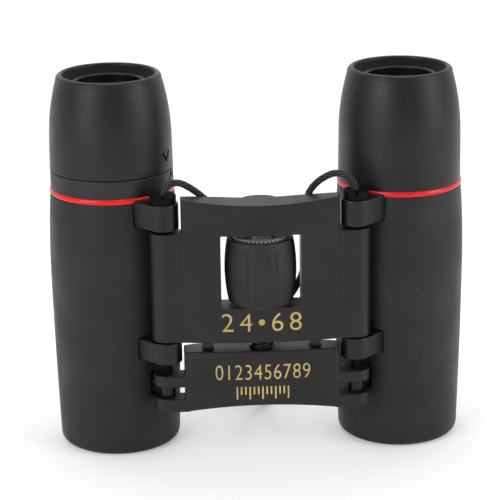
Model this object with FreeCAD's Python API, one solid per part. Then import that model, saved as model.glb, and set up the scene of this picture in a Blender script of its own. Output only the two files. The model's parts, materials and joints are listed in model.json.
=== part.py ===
import FreeCAD, Part
import math
import os

# Compact double-hinge roof-prism binoculars, standing on their objective ends.
# Millimetres.  +Z up, X across the two barrels, +Y away from the bridge face.
# Origin: on the resting plane, at the centre of the body's bounding box.

# ---------------------------------------------------------------- driving dimensions
# Overall layout
BARREL_HEIGHT = 64.1           # armoured barrels, from the table to the red rings
EYEPIECE_HEIGHT = 28.9         # red ring, collar and cup above them
BARREL_SPACING = 70.0          # between the optical axes, opened for wide-set eyes
HINGE_SPACING = 45.6           # between the two hinge pins
BARREL_SETBACK = 16.1          # optical axes behind the plane of the hinge pins

# Barrel tube
TUBE_R = 13.9
TUBE_WALL = 1.0
NECK_STEP = 0.7                # the neck is this much slimmer than the tube
NECK_WALL = 1.2
NECK_HEIGHT = 5.7
NECK_LIP_WIDTH = 0.8           # lip inside the neck, on which the sleeve stands
NECK_LIP_HEIGHT = 1.4
SLEEVE_DEPTH = 9.8
THREAD_GAP = 0.05

# Barrel armour: thickness over the tube, and the heights where it is taken
SKIN_GAP = 0.05
ARMOUR_FOOT_T = 1.0
ARMOUR_LOWER_T = 1.48
ARMOUR_WAIST_T = 1.82
ARMOUR_SHOULDER_T = 1.7
ARMOUR_TOP_T = 1.15
ARMOUR_LOWER_Z = 20.0
ARMOUR_WAIST_DROP = 22.1       # below the top of the armour
ARMOUR_SHOULDER_DROP = 9.6
ARMOUR_EDGE_R = 2.1            # rounding of the foot of the barrel
ARMOUR_LIP_HEIGHT = 1.2        # rubber wrapped over the end of the tube
ARMOUR_LIP_WIDTH = 2.0

# Trim between the barrel and the eyepiece, proud of the tube
RING_HEIGHT = 1.4
RING_PROUD = 1.3
RING_ROUND = 0.35              # crown of the ring's section
COLLAR_HEIGHT = 4.35
COLLAR_PROUD = 1.0
DIOPTER_SEAM = 0.25

# Eyecup: radii against the tube, heights below the rim
CUP_FOOT_PROUD = 1.03
CUP_SHOULDER_PROUD = 0.88
CUP_SHOULDER_DROP = 15.5
CUP_BELLY_PROUD = 0.2
CUP_BELLY_DROP = 7.6
CUP_NECK_INSET = 1.18
CUP_NECK_DROP = 1.3
CUP_RIM_INSET = 2.15
CUP_RIM_WIDTH = 0.65
CUP_RIM_ROUND = 0.35
CUP_LIP_DROP = 0.7
CUP_WALL = 1.7
CUP_THROAT = 2.6               # bore below the collar, inside the belly
CUP_FLOOR = 1.2
CUP_COLLAR_HEIGHT = 3.1        # length of the bore that hugs the ocular
CUP_COLLAR_DROP = 0.1          # below the face of the ocular ring

# Eyepiece
SLEEVE_WALL = 2.35
OCULAR_WALL = 1.1
OCULAR_RECESS = 1.9            # face of the ocular ring below the rim of the cup
OCULAR_INSERTION = 2.8         # length of the tube inside the neck
OCULAR_CLEARANCE = 0.3
OCULAR_RING_FLANGE = 1.2
OCULAR_RING_WALL = 0.25
OCULAR_RING_CHAMFER = 0.3
LENS_RIM = 0.3                 # flat seating rim of an eyepiece lens
EYE_LENS_DEPTH = 3.9
EYE_LENS_EDGE = 2.0
EYE_LENS_CROWN = 0.6
EYE_LENS_BELLY = 1.5
FIELD_LENS_RISE = 3.2
FIELD_LENS_EDGE = 1.6
FIELD_LENS_CROWN = 1.0
SEAT_HEIGHT = 0.8
JOURNAL_HEIGHT = 3.0           # sleeve standing above the neck, on which the cup turns
JOURNAL_CLEARANCE = 0.07
SNAP_RING_HEIGHT = 0.6
SNAP_RING_WIDTH = 0.9
SNAP_RING_GAP = 0.1

# Prisms
CAGE_GAP = 0.05
CAGE_FLOOR = 1.5
CAGE_HEADROOM = 1.6            # room over the prisms for the clip
PRISM_WIDTH = 10.0
PRISM_HALF_FACE = 5.5
PRISM_STACK = 20.0
PRISM_AIR_GAP = 0.85
PRISM_REACH = 9.0
PRISM_BLUNT = 2.4              # height of the half-penta prism's cut corner
CAGE_SLOT_HALF = 11.4
CAGE_APERTURE_LAP = 0.3
CLIP_LENGTH = 17.8
CLIP_WIDTH = 4.8
CLIP_THICKNESS = 0.4
LOCK_RING_HEIGHT = 1.6
LOCK_RING_WIDTH = 2.05

# Objective
CARRIAGE_FOOT_Z = 4.8
CARRIAGE_LENGTH = 21.0
CARRIAGE_WALL = 1.1
CARRIAGE_CLEARANCE = 0.3
OBJECTIVE_RING_HEIGHT = 1.5
OBJECTIVE_RIM = 0.85           # seating rim of the doublet
OBJECTIVE_EDGE = 1.5
OBJECTIVE_FRONT_CROWN = 1.3
OBJECTIVE_CEMENT_CROWN = 1.5
CEMENT_GAP = 0.05
FLINT_EDGE = 3.5
FLINT_HOLLOW = 0.45

# Hinges
PIN_R = 1.2
PIN_CLEARANCE = 0.06
PIN_FOOT_RISE = 1.2            # foot of the pin above the foot of the yoke
LUG_R = 3.65
LUG_INNER_HALF = 2.5           # inner side of the arm, kept clear of the folded bridge
LUG_OUTER_HALF = 4.7           # outer side of the arm where it meets the barrel
LUG_SINK = 0.95                # depth of the arm's root in the tube
LUG_EDGE_R = 0.35
LUG_WINDOW_GAP = 0.15
UPPER_LUG_DROP = 5.6           # foot of the upper lug below the top of the armour
UPPER_LUG_HEIGHT = 6.4
LOWER_LUG_Z = 25.2
LOWER_LUG_HEIGHT = 5.3
UPPER_KNUCKLE_GAP = 0.6
LOWER_KNUCKLE_GAP = 0.3
EYELET_R = 3.15
EYELET_HEIGHT = 2.0
EYELET_FLOOR = 1.1
EYELET_GAP = 0.1
EYELET_CHAMFER = 0.3
EYELET_NOTCH = 0.5             # width of the notch in its front

# Bridge plate
KNUCKLE_STEP = 0.2             # the knuckles are this much slimmer than the lugs
KNUCKLE_BACK_Y = 1.5
KNUCKLE_EDGE_R = 0.3
PLATE_END_GAP = 0.4            # between the plates' ends and the lugs
PLATE_EDGE_R = 0.3
PLATE_CORNER_R = 0.8           # of the plates' front corners, in plan
PLATE_BACK_Y = 2.6
PLATE_BACK_BOW = 0.04          # sagitta of the back's end runs, as a share of their length
BRIDGE_BULGE = 1.5             # crown of the bridge's face at its middle
BRIDGE_FLAT_HALF = 9.0         # half-width of the flat middle of its back
BRIDGE_END_Y = -0.2            # back of its ends
BRIDGE_TOP_RISE = 1.5          # corners of the plate above the upper lugs
BRIDGE_TOP_DIP = 1.55
WINDOW_SILL = 8.7              # height of the plate under the window
WINDOW_HEAD = 8.9              # and over it
WINDOW_SIDE_GAP = 0.95
WINDOW_CORNER_R = 0.3
BOSS_R = 4.8

# Focusing yoke
YOKE_GAP = 2.35
YOKE_HEIGHT = 15.45
YOKE_FOOT_RISE = 1.6
YOKE_BULGE = 1.0
YOKE_FLAT_HALF = 15.0
YOKE_END_Y = 1.6
YOKE_KNUCKLE_HEIGHT = 2.85
YOKE_KNUCKLE_CLEARANCE = 1.0   # to the lower lugs, with the yoke at its highest
YOKE_FOOT_KNUCKLE_HEIGHT = 3.3
YOKE_BOSS_WALL = 1.2
YOKE_TRAVEL_UP = 2.0
YOKE_TRAVEL_DOWN = 1.0

# Guide tongues between the two plates
TONGUE_INSET = 5.8
TONGUE_WIDTH = 2.6
TONGUE_DEPTH = 2.0
TONGUE_Y = -1.0
TONGUE_SEAT = 5.0
TONGUE_REACH = 8.15
TONGUE_CLEARANCE = 0.12
TONGUE_END_GAP = 0.7

# Focusing drive
SPINDLE_R = 1.5
SPINDLE_SEAT = 4.5
SPINDLE_END_GAP = 0.2
SPINDLE_CLEARANCE = 0.06
SCREW_R = 2.9
SCREW_CHAMFER = 0.4
SCREW_OVERRUN = 3.25           # screw below the nut
NUT_WALL = 1.0
NUT_HEIGHT = 9.0
SCREW_WELL_GAP = 0.4
WASHER_THICKNESS = 0.5
WASHER_WIDTH = 2.1
WHEEL_BELLY_R = 8.6
WHEEL_TOP_INSET = 0.6
WHEEL_FOOT_INSET = 1.1
WHEEL_FOOT_CHAMFER = 0.5
WHEEL_CORE_R = 5.6
WHEEL_CROWN_HEIGHT = 1.5
WHEEL_CROWN_BEVEL = 0.9
WHEEL_CROWN_WIDTH = 2.0
WHEEL_FOOT_HEIGHT = 1.0
WHEEL_TEETH = 48
WHEEL_TOOTH_DEPTH = 0.35
WHEEL_TOOTH_SHARE = 0.58       # of the pitch, cut away at the rim
GRIP_LAP = 0.12                # rubber proud of the crown
GRIP_FLUTES = 8
GRIP_FLUTE_R = 1.6
GRIP_FLUTE_DEPTH = 0.12
CROSS_PIN_R = 0.6
CROSS_PIN_SINK = 0.4

# Carriage arm that rides on the hinge pin
ARM_EYE_R = 1.9
ARM_HALF = 1.1
ARM_GAP = 0.15
ARM_SLOT_GAP = 0.35

# Neck strap cord
CORD_R = 0.85
CORD_HOLE_GAP = 0.1
COIL_MEAN_R = 9.35
COIL_COLUMNS = 3
COIL_LAYERS = 4
COIL_BACK = 47.0               # coil centre behind the plane of the hinge pins

# ---------------------------------------------------------------- derived dimensions
SIDES = (("left", -1), ("right", 1))
EPS = 1.0                      # overrun of cutting tools past a face

# Plan
BARREL_X = BARREL_SPACING / 2
HINGE_X = HINGE_SPACING / 2
BODY_BACK = BARREL_SETBACK + TUBE_R + ARMOUR_WAIST_T
HINGE_Y = (WHEEL_BELLY_R - BODY_BACK) / 2
BARREL_Y = HINGE_Y + BARREL_SETBACK
ARM_REACH = math.hypot(BARREL_X - HINGE_X, BARREL_SETBACK)
PLATE_END_X = HINGE_X - LUG_R - PLATE_END_GAP
KNUCKLE_R = LUG_R - KNUCKLE_STEP
TONGUE_X = PLATE_END_X - TONGUE_INSET
WINDOW_WIDTH = 2 * (WHEEL_BELLY_R + WINDOW_SIDE_GAP)

# Radii
TUBE_BORE_R = TUBE_R - TUBE_WALL
NECK_R = TUBE_R - NECK_STEP
NECK_BORE_R = NECK_R - NECK_WALL
NECK_LIP_BORE_R = NECK_BORE_R - NECK_LIP_WIDTH
TRIM_BORE_R = NECK_R + THREAD_GAP
SLEEVE_R = NECK_BORE_R - THREAD_GAP
OCULAR_R = SLEEVE_R - SLEEVE_WALL - OCULAR_CLEARANCE
CAGE_R = TUBE_BORE_R - CAGE_GAP
CARRIAGE_R = TUBE_BORE_R - CARRIAGE_CLEARANCE
CARRIAGE_BORE_R = CARRIAGE_R - CARRIAGE_WALL
OBJECTIVE_R = CARRIAGE_BORE_R - THREAD_GAP
OBJECTIVE_CLEAR_R = OBJECTIVE_R - OBJECTIVE_RIM
OCULAR_BORE_R = OCULAR_R - OCULAR_WALL
OCULAR_LENS_R = OCULAR_BORE_R - THREAD_GAP
OCULAR_RING_BORE_R = OCULAR_LENS_R - OCULAR_RING_WALL
EYE_CLEAR_R = OCULAR_RING_BORE_R - LENS_RIM
CUP_BORE_R = OCULAR_R + OCULAR_CLEARANCE + THREAD_GAP
PIN_BORE_R = PIN_R + PIN_CLEARANCE
CORD_HOLE_R = CORD_R + CORD_HOLE_GAP
NUT_R = SCREW_R + NUT_WALL
YOKE_BOSS_R = NUT_R + YOKE_BOSS_WALL
WASHER_R = SPINDLE_R + WASHER_WIDTH
WHEEL_TOP_R = WHEEL_BELLY_R - WHEEL_TOP_INSET
WHEEL_FOOT_R = WHEEL_BELLY_R - WHEEL_FOOT_INSET

# Heights on the barrels
OVERALL_HEIGHT = BARREL_HEIGHT + EYEPIECE_HEIGHT
COLLAR_Z = BARREL_HEIGHT + RING_HEIGHT
LEFT_CUP_Z = COLLAR_Z + COLLAR_HEIGHT + DIOPTER_SEAM
NECK_TOP_Z = BARREL_HEIGHT + NECK_HEIGHT
SLEEVE_FOOT_Z = NECK_TOP_Z - SLEEVE_DEPTH
CAGE_TOP_Z = SLEEVE_FOOT_Z - NECK_LIP_HEIGHT
CLIP_Z = CAGE_TOP_Z - CAGE_HEADROOM
CAGE_SEAT_Z = CLIP_Z - PRISM_STACK
CAGE_FOOT_Z = CAGE_SEAT_Z - CAGE_FLOOR
OCULAR_RING_TOP_Z = OVERALL_HEIGHT - OCULAR_RECESS
OCULAR_TOP_Z = OCULAR_RING_TOP_Z - OCULAR_RING_FLANGE
OCULAR_FOOT_Z = NECK_TOP_Z - OCULAR_INSERTION
EYE_LENS_Z = OCULAR_TOP_Z - EYE_LENS_DEPTH
FIELD_LENS_Z = OCULAR_FOOT_Z + FIELD_LENS_RISE
CROWN_Z = CARRIAGE_FOOT_Z + OBJECTIVE_RING_HEIGHT
FLINT_Z = CROWN_Z + OBJECTIVE_EDGE
SEAT_Z = FLINT_Z + FLINT_EDGE

# Heights along the hinges
UPPER_LUG_Z = BARREL_HEIGHT - UPPER_LUG_DROP
UPPER_LUG_TOP_Z = UPPER_LUG_Z + UPPER_LUG_HEIGHT
LOWER_LUG_TOP_Z = LOWER_LUG_Z + LOWER_LUG_HEIGHT
EYELET_Z = UPPER_LUG_TOP_Z + EYELET_GAP
PIN_TOP_Z = EYELET_Z + EYELET_FLOOR
BRIDGE_FOOT_Z = LOWER_LUG_TOP_Z + LOWER_KNUCKLE_GAP
BRIDGE_KNUCKLE_TOP_Z = UPPER_LUG_Z - UPPER_KNUCKLE_GAP
BRIDGE_TOP_Z = UPPER_LUG_TOP_Z + BRIDGE_TOP_RISE
YOKE_TOP_Z = BRIDGE_FOOT_Z - YOKE_GAP
YOKE_FOOT_Z = YOKE_TOP_Z - YOKE_HEIGHT
YOKE_KNUCKLE_TOP_Z = LOWER_LUG_Z - YOKE_KNUCKLE_CLEARANCE - YOKE_TRAVEL_UP
YOKE_KNUCKLE_Z = YOKE_KNUCKLE_TOP_Z - YOKE_KNUCKLE_HEIGHT
YOKE_FOOT_KNUCKLE_TOP_Z = YOKE_FOOT_Z + YOKE_FOOT_KNUCKLE_HEIGHT
PIN_FOOT_Z = YOKE_FOOT_Z + PIN_FOOT_RISE
ARM_Z = YOKE_FOOT_KNUCKLE_TOP_Z + ARM_GAP
ARM_TOP_Z = YOKE_KNUCKLE_Z - ARM_GAP

# Heights of the focusing drive
WINDOW_FOOT_Z = BRIDGE_FOOT_Z + WINDOW_SILL
WINDOW_TOP_Z = BRIDGE_TOP_Z - WINDOW_HEAD
WHEEL_Z = WINDOW_FOOT_Z + WASHER_THICKNESS
WHEEL_TOP_Z = WINDOW_TOP_Z - WASHER_THICKNESS
GRIP_FOOT_Z = WHEEL_Z + WHEEL_FOOT_HEIGHT
GRIP_TOP_Z = WHEEL_TOP_Z - WHEEL_CROWN_HEIGHT
CROSS_PIN_Z = (WHEEL_Z + WHEEL_TOP_Z) / 2
SPINDLE_TOP_Z = WINDOW_TOP_Z + SPINDLE_SEAT
NUT_FOOT_Z = YOKE_TOP_Z - NUT_HEIGHT
SCREW_FOOT_Z = NUT_FOOT_Z - SCREW_OVERRUN
TONGUE_FOOT_Z = YOKE_TOP_Z - TONGUE_REACH
TONGUE_TOP_Z = BRIDGE_FOOT_Z + TONGUE_SEAT
TONGUE_POCKET_Z = TONGUE_FOOT_Z - YOKE_TRAVEL_UP - TONGUE_END_GAP


# ---------------------------------------------------------------- helpers
def vec(x, y, z):
    return FreeCAD.Vector(x, y, z)


def lathe(profile, x=0.0, y=HINGE_Y):
    """Turn a closed (radius, height) profile about the vertical axis at x, y.
    A step ("arc", middle, end) is a circular arc; a plain point is a straight run."""
    start = profile[0]
    here = vec(start[0], 0, start[1])
    edges = []
    for step in list(profile[1:]) + [start]:
        if step[0] == "arc":
            middle = vec(step[1][0], 0, step[1][1])
            end = vec(step[2][0], 0, step[2][1])
            edges.append(Part.Arc(here, middle, end).toShape())
        else:
            end = vec(step[0], 0, step[1])
            if end.distanceToPoint(here) < 1e-7:
                continue
            edges.append(Part.LineSegment(here, end).toShape())
        here = end
    face = Part.Face(Part.Wire(edges))
    solid = face.revolve(vec(0, 0, 0), vec(0, 0, 1), 360)
    solid.translate(vec(x, y, 0))
    return solid


def rod(radius, z0, z1, x=0.0, y=HINGE_Y):
    return Part.makeCylinder(radius, z1 - z0, vec(x, y, z0))


def ring(radius, bore, z0, z1, x=0.0, y=HINGE_Y):
    return rod(radius, z0, z1, x, y).cut(rod(bore, z0 - EPS, z1 + EPS, x, y))


def block(x0, x1, y0, y1, z0, z1):
    return Part.makeBox(x1 - x0, y1 - y0, z1 - z0, vec(x0, y0, z0))


def prism(points, z0, z1):
    """Extrude a plan outline of (x, y) points from z0 to z1."""
    corners = [vec(px, py, z0) for px, py in points]
    face = Part.Face(Part.makePolygon(corners + [corners[0]]))
    return face.extrude(vec(0, 0, z1 - z0))


def soften(solid, radius, heights):
    """Round the outline edges of a flat-topped solid that lie at the given heights."""
    edges = [edge for edge in solid.Edges
             if any(all(abs(v.Z - z) < 1e-6 for v in edge.Vertexes) for z in heights)]
    return solid.makeFillet(radius, edges)


def save(name, shape):
    solids = shape.Solids
    result = solids[0] if len(solids) == 1 else Part.makeCompound(solids)
    result.exportStep("parts/" + name + ".step")


# ---------------------------------------------------------------- hinge geometry
def arm_axes(sign):
    """Unit vectors of a barrel's arm: along it, and across it to its outer face."""
    along = ((BARREL_X - HINGE_X) * sign / ARM_REACH, BARREL_SETBACK / ARM_REACH)
    across = (sign * along[1], -sign * along[0])
    return along, across


def arm_point(sign, reach, side):
    along, across = arm_axes(sign)
    return (sign * HINGE_X + along[0] * reach + across[0] * side,
            HINGE_Y + along[1] * reach + across[1] * side)


def arm_web(sign, reach, half, z0, z1):
    """A flat arm from the hinge axis towards the barrel axis."""
    outline = [arm_point(sign, 0, half), arm_point(sign, 0, -half),
               arm_point(sign, reach, -half), arm_point(sign, reach, half)]
    return prism(outline, z0, z1)


def lug(sign, z0, z1, grow=0.0):
    """A hinge lug: an eye round the pin and the arm that carries it, in one outline."""
    radius = LUG_R + grow
    inner = LUG_INNER_HALF + grow
    outer = LUG_OUTER_HALF + grow
    reach = ARM_REACH - TUBE_R + LUG_SINK
    eye_end = math.sqrt(radius ** 2 - inner ** 2)

    def at(along, side):
        x, y = arm_point(sign, along, side)
        return vec(x, y, z0 - grow)

    start = at(0, radius)
    turn = at(eye_end, -inner)
    edges = [Part.Arc(start, at(-radius, 0), turn).toShape(),
             Part.LineSegment(turn, at(reach, -inner)).toShape(),
             Part.LineSegment(at(reach, -inner), at(reach, outer)).toShape(),
             Part.LineSegment(at(reach, outer), start).toShape()]
    solid = Part.Face(Part.Wire(edges)).extrude(vec(0, 0, z1 - z0 + 2 * grow))
    return solid if grow else soften(solid, LUG_EDGE_R, (z0, z1))


def pin_bore(sign, z0, z1):
    return rod(PIN_BORE_R, z0 - EPS, z1 + EPS, sign * HINGE_X)


def arm_slot(sign):
    """Clearance for the carriage arm through the barrel wall, over its whole travel."""
    half = ARM_HALF + ARM_SLOT_GAP
    return arm_web(sign, ARM_REACH, half, ARM_Z - YOKE_TRAVEL_DOWN - ARM_SLOT_GAP,
                   ARM_TOP_Z + YOKE_TRAVEL_UP + ARM_SLOT_GAP)


# ---------------------------------------------------------------- barrels
def barrel_tube(sign):
    x = sign * BARREL_X
    shell = lathe([(TUBE_BORE_R, ARMOUR_LIP_HEIGHT), (TUBE_R, ARMOUR_LIP_HEIGHT),
                   (TUBE_R, BARREL_HEIGHT), (NECK_R, BARREL_HEIGHT), (NECK_R, NECK_TOP_Z),
                   (NECK_BORE_R, NECK_TOP_Z), (NECK_BORE_R, SLEEVE_FOOT_Z),
                   (NECK_LIP_BORE_R, SLEEVE_FOOT_Z), (NECK_LIP_BORE_R, CAGE_TOP_Z),
                   (TUBE_BORE_R, CAGE_TOP_Z)], x, BARREL_Y)
    upper = lug(sign, UPPER_LUG_Z, UPPER_LUG_TOP_Z)
    lower = lug(sign, LOWER_LUG_Z, LOWER_LUG_TOP_Z)
    lugs = upper.fuse(lower).cut(rod(TUBE_R - TUBE_WALL / 2, 0, OVERALL_HEIGHT, x, BARREL_Y))
    ring_space = rod(TUBE_R + RING_PROUD + LUG_WINDOW_GAP, BARREL_HEIGHT, OVERALL_HEIGHT, x, BARREL_Y)
    lugs = lugs.cut(ring_space)
    bores = pin_bore(sign, LOWER_LUG_Z, UPPER_LUG_TOP_Z)
    return shell.fuse(lugs).cut(bores).cut(arm_slot(sign))


def barrel_armour(sign):
    bore = TUBE_R + SKIN_GAP
    lip_bore = TUBE_R - ARMOUR_LIP_WIDTH
    foot = TUBE_R + ARMOUR_FOOT_T
    edge = ARMOUR_EDGE_R
    turn = edge * (1 - math.sqrt(0.5))
    lower_mark = (TUBE_R + ARMOUR_LOWER_T, ARMOUR_LOWER_Z)
    waist = (TUBE_R + ARMOUR_WAIST_T, BARREL_HEIGHT - ARMOUR_WAIST_DROP)
    shoulder = (TUBE_R + ARMOUR_SHOULDER_T, BARREL_HEIGHT - ARMOUR_SHOULDER_DROP)
    skin = lathe([(lip_bore, 0), (foot - edge, 0), ("arc", (foot - turn, turn), (foot, edge)),
                  ("arc", lower_mark, waist),
                  ("arc", shoulder, (TUBE_R + ARMOUR_TOP_T, BARREL_HEIGHT)),
                  (bore, BARREL_HEIGHT), (bore, ARMOUR_LIP_HEIGHT), (lip_bore, ARMOUR_LIP_HEIGHT)],
                 sign * BARREL_X, BARREL_Y)
    upper = lug(sign, UPPER_LUG_Z, UPPER_LUG_TOP_Z, LUG_WINDOW_GAP)
    lower = lug(sign, LOWER_LUG_Z, LOWER_LUG_TOP_Z, LUG_WINDOW_GAP)
    return skin.cut(upper).cut(lower).cut(arm_slot(sign))


def red_ring(sign):
    crest = TUBE_R + RING_PROUD
    edge = crest - RING_ROUND
    return lathe([(TRIM_BORE_R, BARREL_HEIGHT), (edge, BARREL_HEIGHT),
                  ("arc", (crest, BARREL_HEIGHT + RING_HEIGHT / 2), (edge, COLLAR_Z)),
                  (TRIM_BORE_R, COLLAR_Z)], sign * BARREL_X, BARREL_Y)


def diopter_collar(sign):
    return ring(TUBE_R + COLLAR_PROUD, TRIM_BORE_R, COLLAR_Z, COLLAR_Z + COLLAR_HEIGHT,
                sign * BARREL_X, BARREL_Y)


def eyecup(sign, foot_z, foot_bore, skirt):
    """Bullet-shaped cup.  With a skirt it screws over the neck; without, it turns on the sleeve."""
    rim_z = OVERALL_HEIGHT
    foot_r = TUBE_R + CUP_FOOT_PROUD
    shoulder = (TUBE_R + CUP_SHOULDER_PROUD, rim_z - CUP_SHOULDER_DROP)
    belly = (TUBE_R + CUP_BELLY_PROUD, rim_z - CUP_BELLY_DROP)
    neck = (TUBE_R - CUP_NECK_INSET, rim_z - CUP_NECK_DROP)
    rim_r = TUBE_R - CUP_RIM_INSET
    mouth_r = rim_r - CUP_RIM_WIDTH
    outside = [(foot_r, foot_z), shoulder, ("arc", belly, neck),
               ("arc", (neck[0] - CUP_RIM_ROUND, rim_z - CUP_RIM_ROUND), (rim_r, rim_z)),
               ("arc", (mouth_r + CUP_RIM_WIDTH / 4, rim_z - CUP_LIP_DROP / 4),
                (mouth_r, rim_z - CUP_LIP_DROP))]
    seat_z = OCULAR_RING_TOP_Z - CUP_COLLAR_DROP
    collar_z = seat_z - CUP_COLLAR_HEIGHT
    wall_r = shoulder[0] - CUP_WALL
    inside = [(CUP_BORE_R, seat_z), (CUP_BORE_R, collar_z), (belly[0] - CUP_THROAT, collar_z),
              (wall_r, shoulder[1] + CUP_WALL)]
    if skirt:
        inside += [(wall_r, NECK_TOP_Z + CUP_FLOOR), (foot_bore, NECK_TOP_Z + CUP_FLOOR),
                   (foot_bore, NECK_TOP_Z), (TRIM_BORE_R, NECK_TOP_Z), (TRIM_BORE_R, foot_z)]
    else:
        inside += [(wall_r, foot_z + CUP_FLOOR), (foot_bore, foot_z + CUP_FLOOR),
                   (foot_bore, foot_z)]
    return lathe(outside + inside, sign * BARREL_X, BARREL_Y)


# ---------------------------------------------------------------- eyepieces
def cap_middle(clear, crown):
    """Point half-way along a spherical cap: (radius, height over the seating rim)."""
    sphere = (clear ** 2 + crown ** 2) / (2 * abs(crown))
    height = math.sqrt(sphere ** 2 - (clear / 2) ** 2) - (sphere - abs(crown))
    return clear / 2, math.copysign(height, crown)


def lens(radius, clear, z0, z1, lower_crown, upper_crown, x):
    """A lens with a flat seating rim; a crown is the height of a bulging face, below or above."""
    lower_r, lower_h = cap_middle(clear, lower_crown)
    upper_r, upper_h = cap_middle(clear, upper_crown)
    return lathe([(0, z0 - lower_crown), ("arc", (lower_r, z0 - lower_h), (clear, z0)),
                  (radius, z0), (radius, z1), (clear, z1),
                  ("arc", (upper_r, z1 + upper_h), (0, z1 + upper_crown))], x, BARREL_Y)


def ocular_sleeve(sign, bore, top_z):
    return ring(SLEEVE_R, bore, SLEEVE_FOOT_Z, top_z, sign * BARREL_X, BARREL_Y)


def ocular_tube(sign):
    seat_bore = EYE_CLEAR_R
    field_top = FIELD_LENS_Z + FIELD_LENS_EDGE
    return lathe([(OCULAR_BORE_R, OCULAR_FOOT_Z), (OCULAR_R, OCULAR_FOOT_Z),
                  (OCULAR_R, OCULAR_TOP_Z), (OCULAR_BORE_R, OCULAR_TOP_Z),
                  (OCULAR_BORE_R, EYE_LENS_Z), (seat_bore, EYE_LENS_Z),
                  (seat_bore, EYE_LENS_Z - SEAT_HEIGHT), (OCULAR_BORE_R, EYE_LENS_Z - SEAT_HEIGHT),
                  (OCULAR_BORE_R, field_top + SEAT_HEIGHT), (seat_bore, field_top + SEAT_HEIGHT),
                  (seat_bore, field_top), (OCULAR_BORE_R, field_top)], sign * BARREL_X, BARREL_Y)


def eye_lens(sign):
    return lens(OCULAR_LENS_R, EYE_CLEAR_R, EYE_LENS_Z, EYE_LENS_Z + EYE_LENS_EDGE,
                EYE_LENS_BELLY, EYE_LENS_CROWN, sign * BARREL_X)


def field_lens(sign):
    return lens(OCULAR_LENS_R, EYE_CLEAR_R, FIELD_LENS_Z, FIELD_LENS_Z + FIELD_LENS_EDGE,
                FIELD_LENS_CROWN, FIELD_LENS_CROWN, sign * BARREL_X)


def ocular_ring(sign):
    foot_z = EYE_LENS_Z + EYE_LENS_EDGE
    chamfer = OCULAR_RING_CHAMFER
    return lathe([(OCULAR_RING_BORE_R, foot_z), (OCULAR_LENS_R, foot_z),
                  (OCULAR_LENS_R, OCULAR_TOP_Z), (OCULAR_R, OCULAR_TOP_Z),
                  (OCULAR_R, OCULAR_RING_TOP_Z - chamfer), (OCULAR_R - chamfer, OCULAR_RING_TOP_Z),
                  (OCULAR_RING_BORE_R + chamfer, OCULAR_RING_TOP_Z),
                  (OCULAR_RING_BORE_R, OCULAR_RING_TOP_Z - chamfer)], sign * BARREL_X, BARREL_Y)


def snap_ring(sign):
    foot_z = LEFT_CUP_Z + CUP_FLOOR + SNAP_RING_GAP
    return ring(SLEEVE_R + SNAP_RING_WIDTH, SLEEVE_R, foot_z, foot_z + SNAP_RING_HEIGHT,
                sign * BARREL_X, BARREL_Y)


# ---------------------------------------------------------------- prisms
def prism_cage(sign):
    x = sign * BARREL_X
    half = PRISM_WIDTH / 2
    body = rod(CAGE_R, CAGE_FOOT_Z, CAGE_TOP_Z, x, BARREL_Y)
    slot = block(x - CAGE_SLOT_HALF, x + CAGE_SLOT_HALF, BARREL_Y - half, BARREL_Y + half,
                 CAGE_SEAT_Z, CAGE_TOP_Z + EPS)
    clip_seat = block(x - CLIP_WIDTH / 2 - THREAD_GAP, x + CLIP_WIDTH / 2 + THREAD_GAP,
                      BARREL_Y - CLIP_LENGTH / 2, BARREL_Y + CLIP_LENGTH / 2,
                      CLIP_Z, CAGE_TOP_Z + EPS)
    aperture = rod(PRISM_HALF_FACE - CAGE_APERTURE_LAP, CAGE_FOOT_Z - EPS, CAGE_SEAT_Z + EPS, x, BARREL_Y)
    return body.cut(slot).cut(clip_seat).cut(aperture)


def prism_section(points, sign):
    """Extrude a prism's (across, height) section to the prism width, centred on the barrel."""
    y0 = BARREL_Y - PRISM_WIDTH / 2
    corners = [vec(sign * (BARREL_X - px), y0, CAGE_SEAT_Z + pz) for px, pz in points]
    face = Part.Face(Part.makePolygon(corners + [corners[0]]))
    return face.extrude(vec(0, PRISM_WIDTH, 0))


def half_penta_prism(sign):
    """Bauernfeind prism: 45 degree exit face, mirror face at 67.5 degrees."""
    half = PRISM_HALF_FACE
    lean = math.tan(math.radians(22.5))
    exit_x = PRISM_REACH - PRISM_AIR_GAP / 2
    exit_z = exit_x + half
    mirror_z = exit_z - PRISM_BLUNT
    return prism_section([(-half, 0), (half, 0), (half + lean * mirror_z, mirror_z),
                          (exit_x, exit_z)], sign)


def roof_prism(sign):
    """Schmidt prism: 45 degree entrance face, level exit face and a 90 degree roof."""
    half = PRISM_HALF_FACE
    offset = half + PRISM_AIR_GAP
    lean = math.radians(22.5)
    top_x = -PRISM_REACH
    run = (PRISM_STACK - offset - top_x) / (math.cos(lean) + math.sin(lean))
    foot = (top_x + math.sin(lean) * run, PRISM_STACK - math.cos(lean) * run)
    body = prism_section([foot, (PRISM_REACH, PRISM_REACH + offset), (PRISM_REACH, PRISM_STACK),
                          (top_x, PRISM_STACK)], sign)
    # The roof: two faces at right angles that meet in a ridge along the back of the section.
    half_width = PRISM_WIDTH / 2
    ridge_top = vec(sign * (BARREL_X - top_x), BARREL_Y, CAGE_SEAT_Z + PRISM_STACK)
    ridge_foot = vec(sign * (BARREL_X - foot[0]), BARREL_Y, CAGE_SEAT_Z + foot[1])
    ridge = (ridge_foot - ridge_top).normalize()
    inward = vec(ridge.z, 0, -ridge.x)
    if inward.x * sign > 0:
        inward = inward * -1
    side = vec(0, half_width, 0)
    roof_start = ridge_top - ridge * PRISM_WIDTH
    depth = PRISM_WIDTH * 4
    near = inward * half_width
    corners = [roof_start, roof_start + side + near, roof_start + side + near + inward * depth,
               roof_start - side + near + inward * depth, roof_start - side + near]
    wedge = Part.Face(Part.makePolygon(corners + [corners[0]])).extrude(ridge * depth)
    return body.common(wedge)


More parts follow.
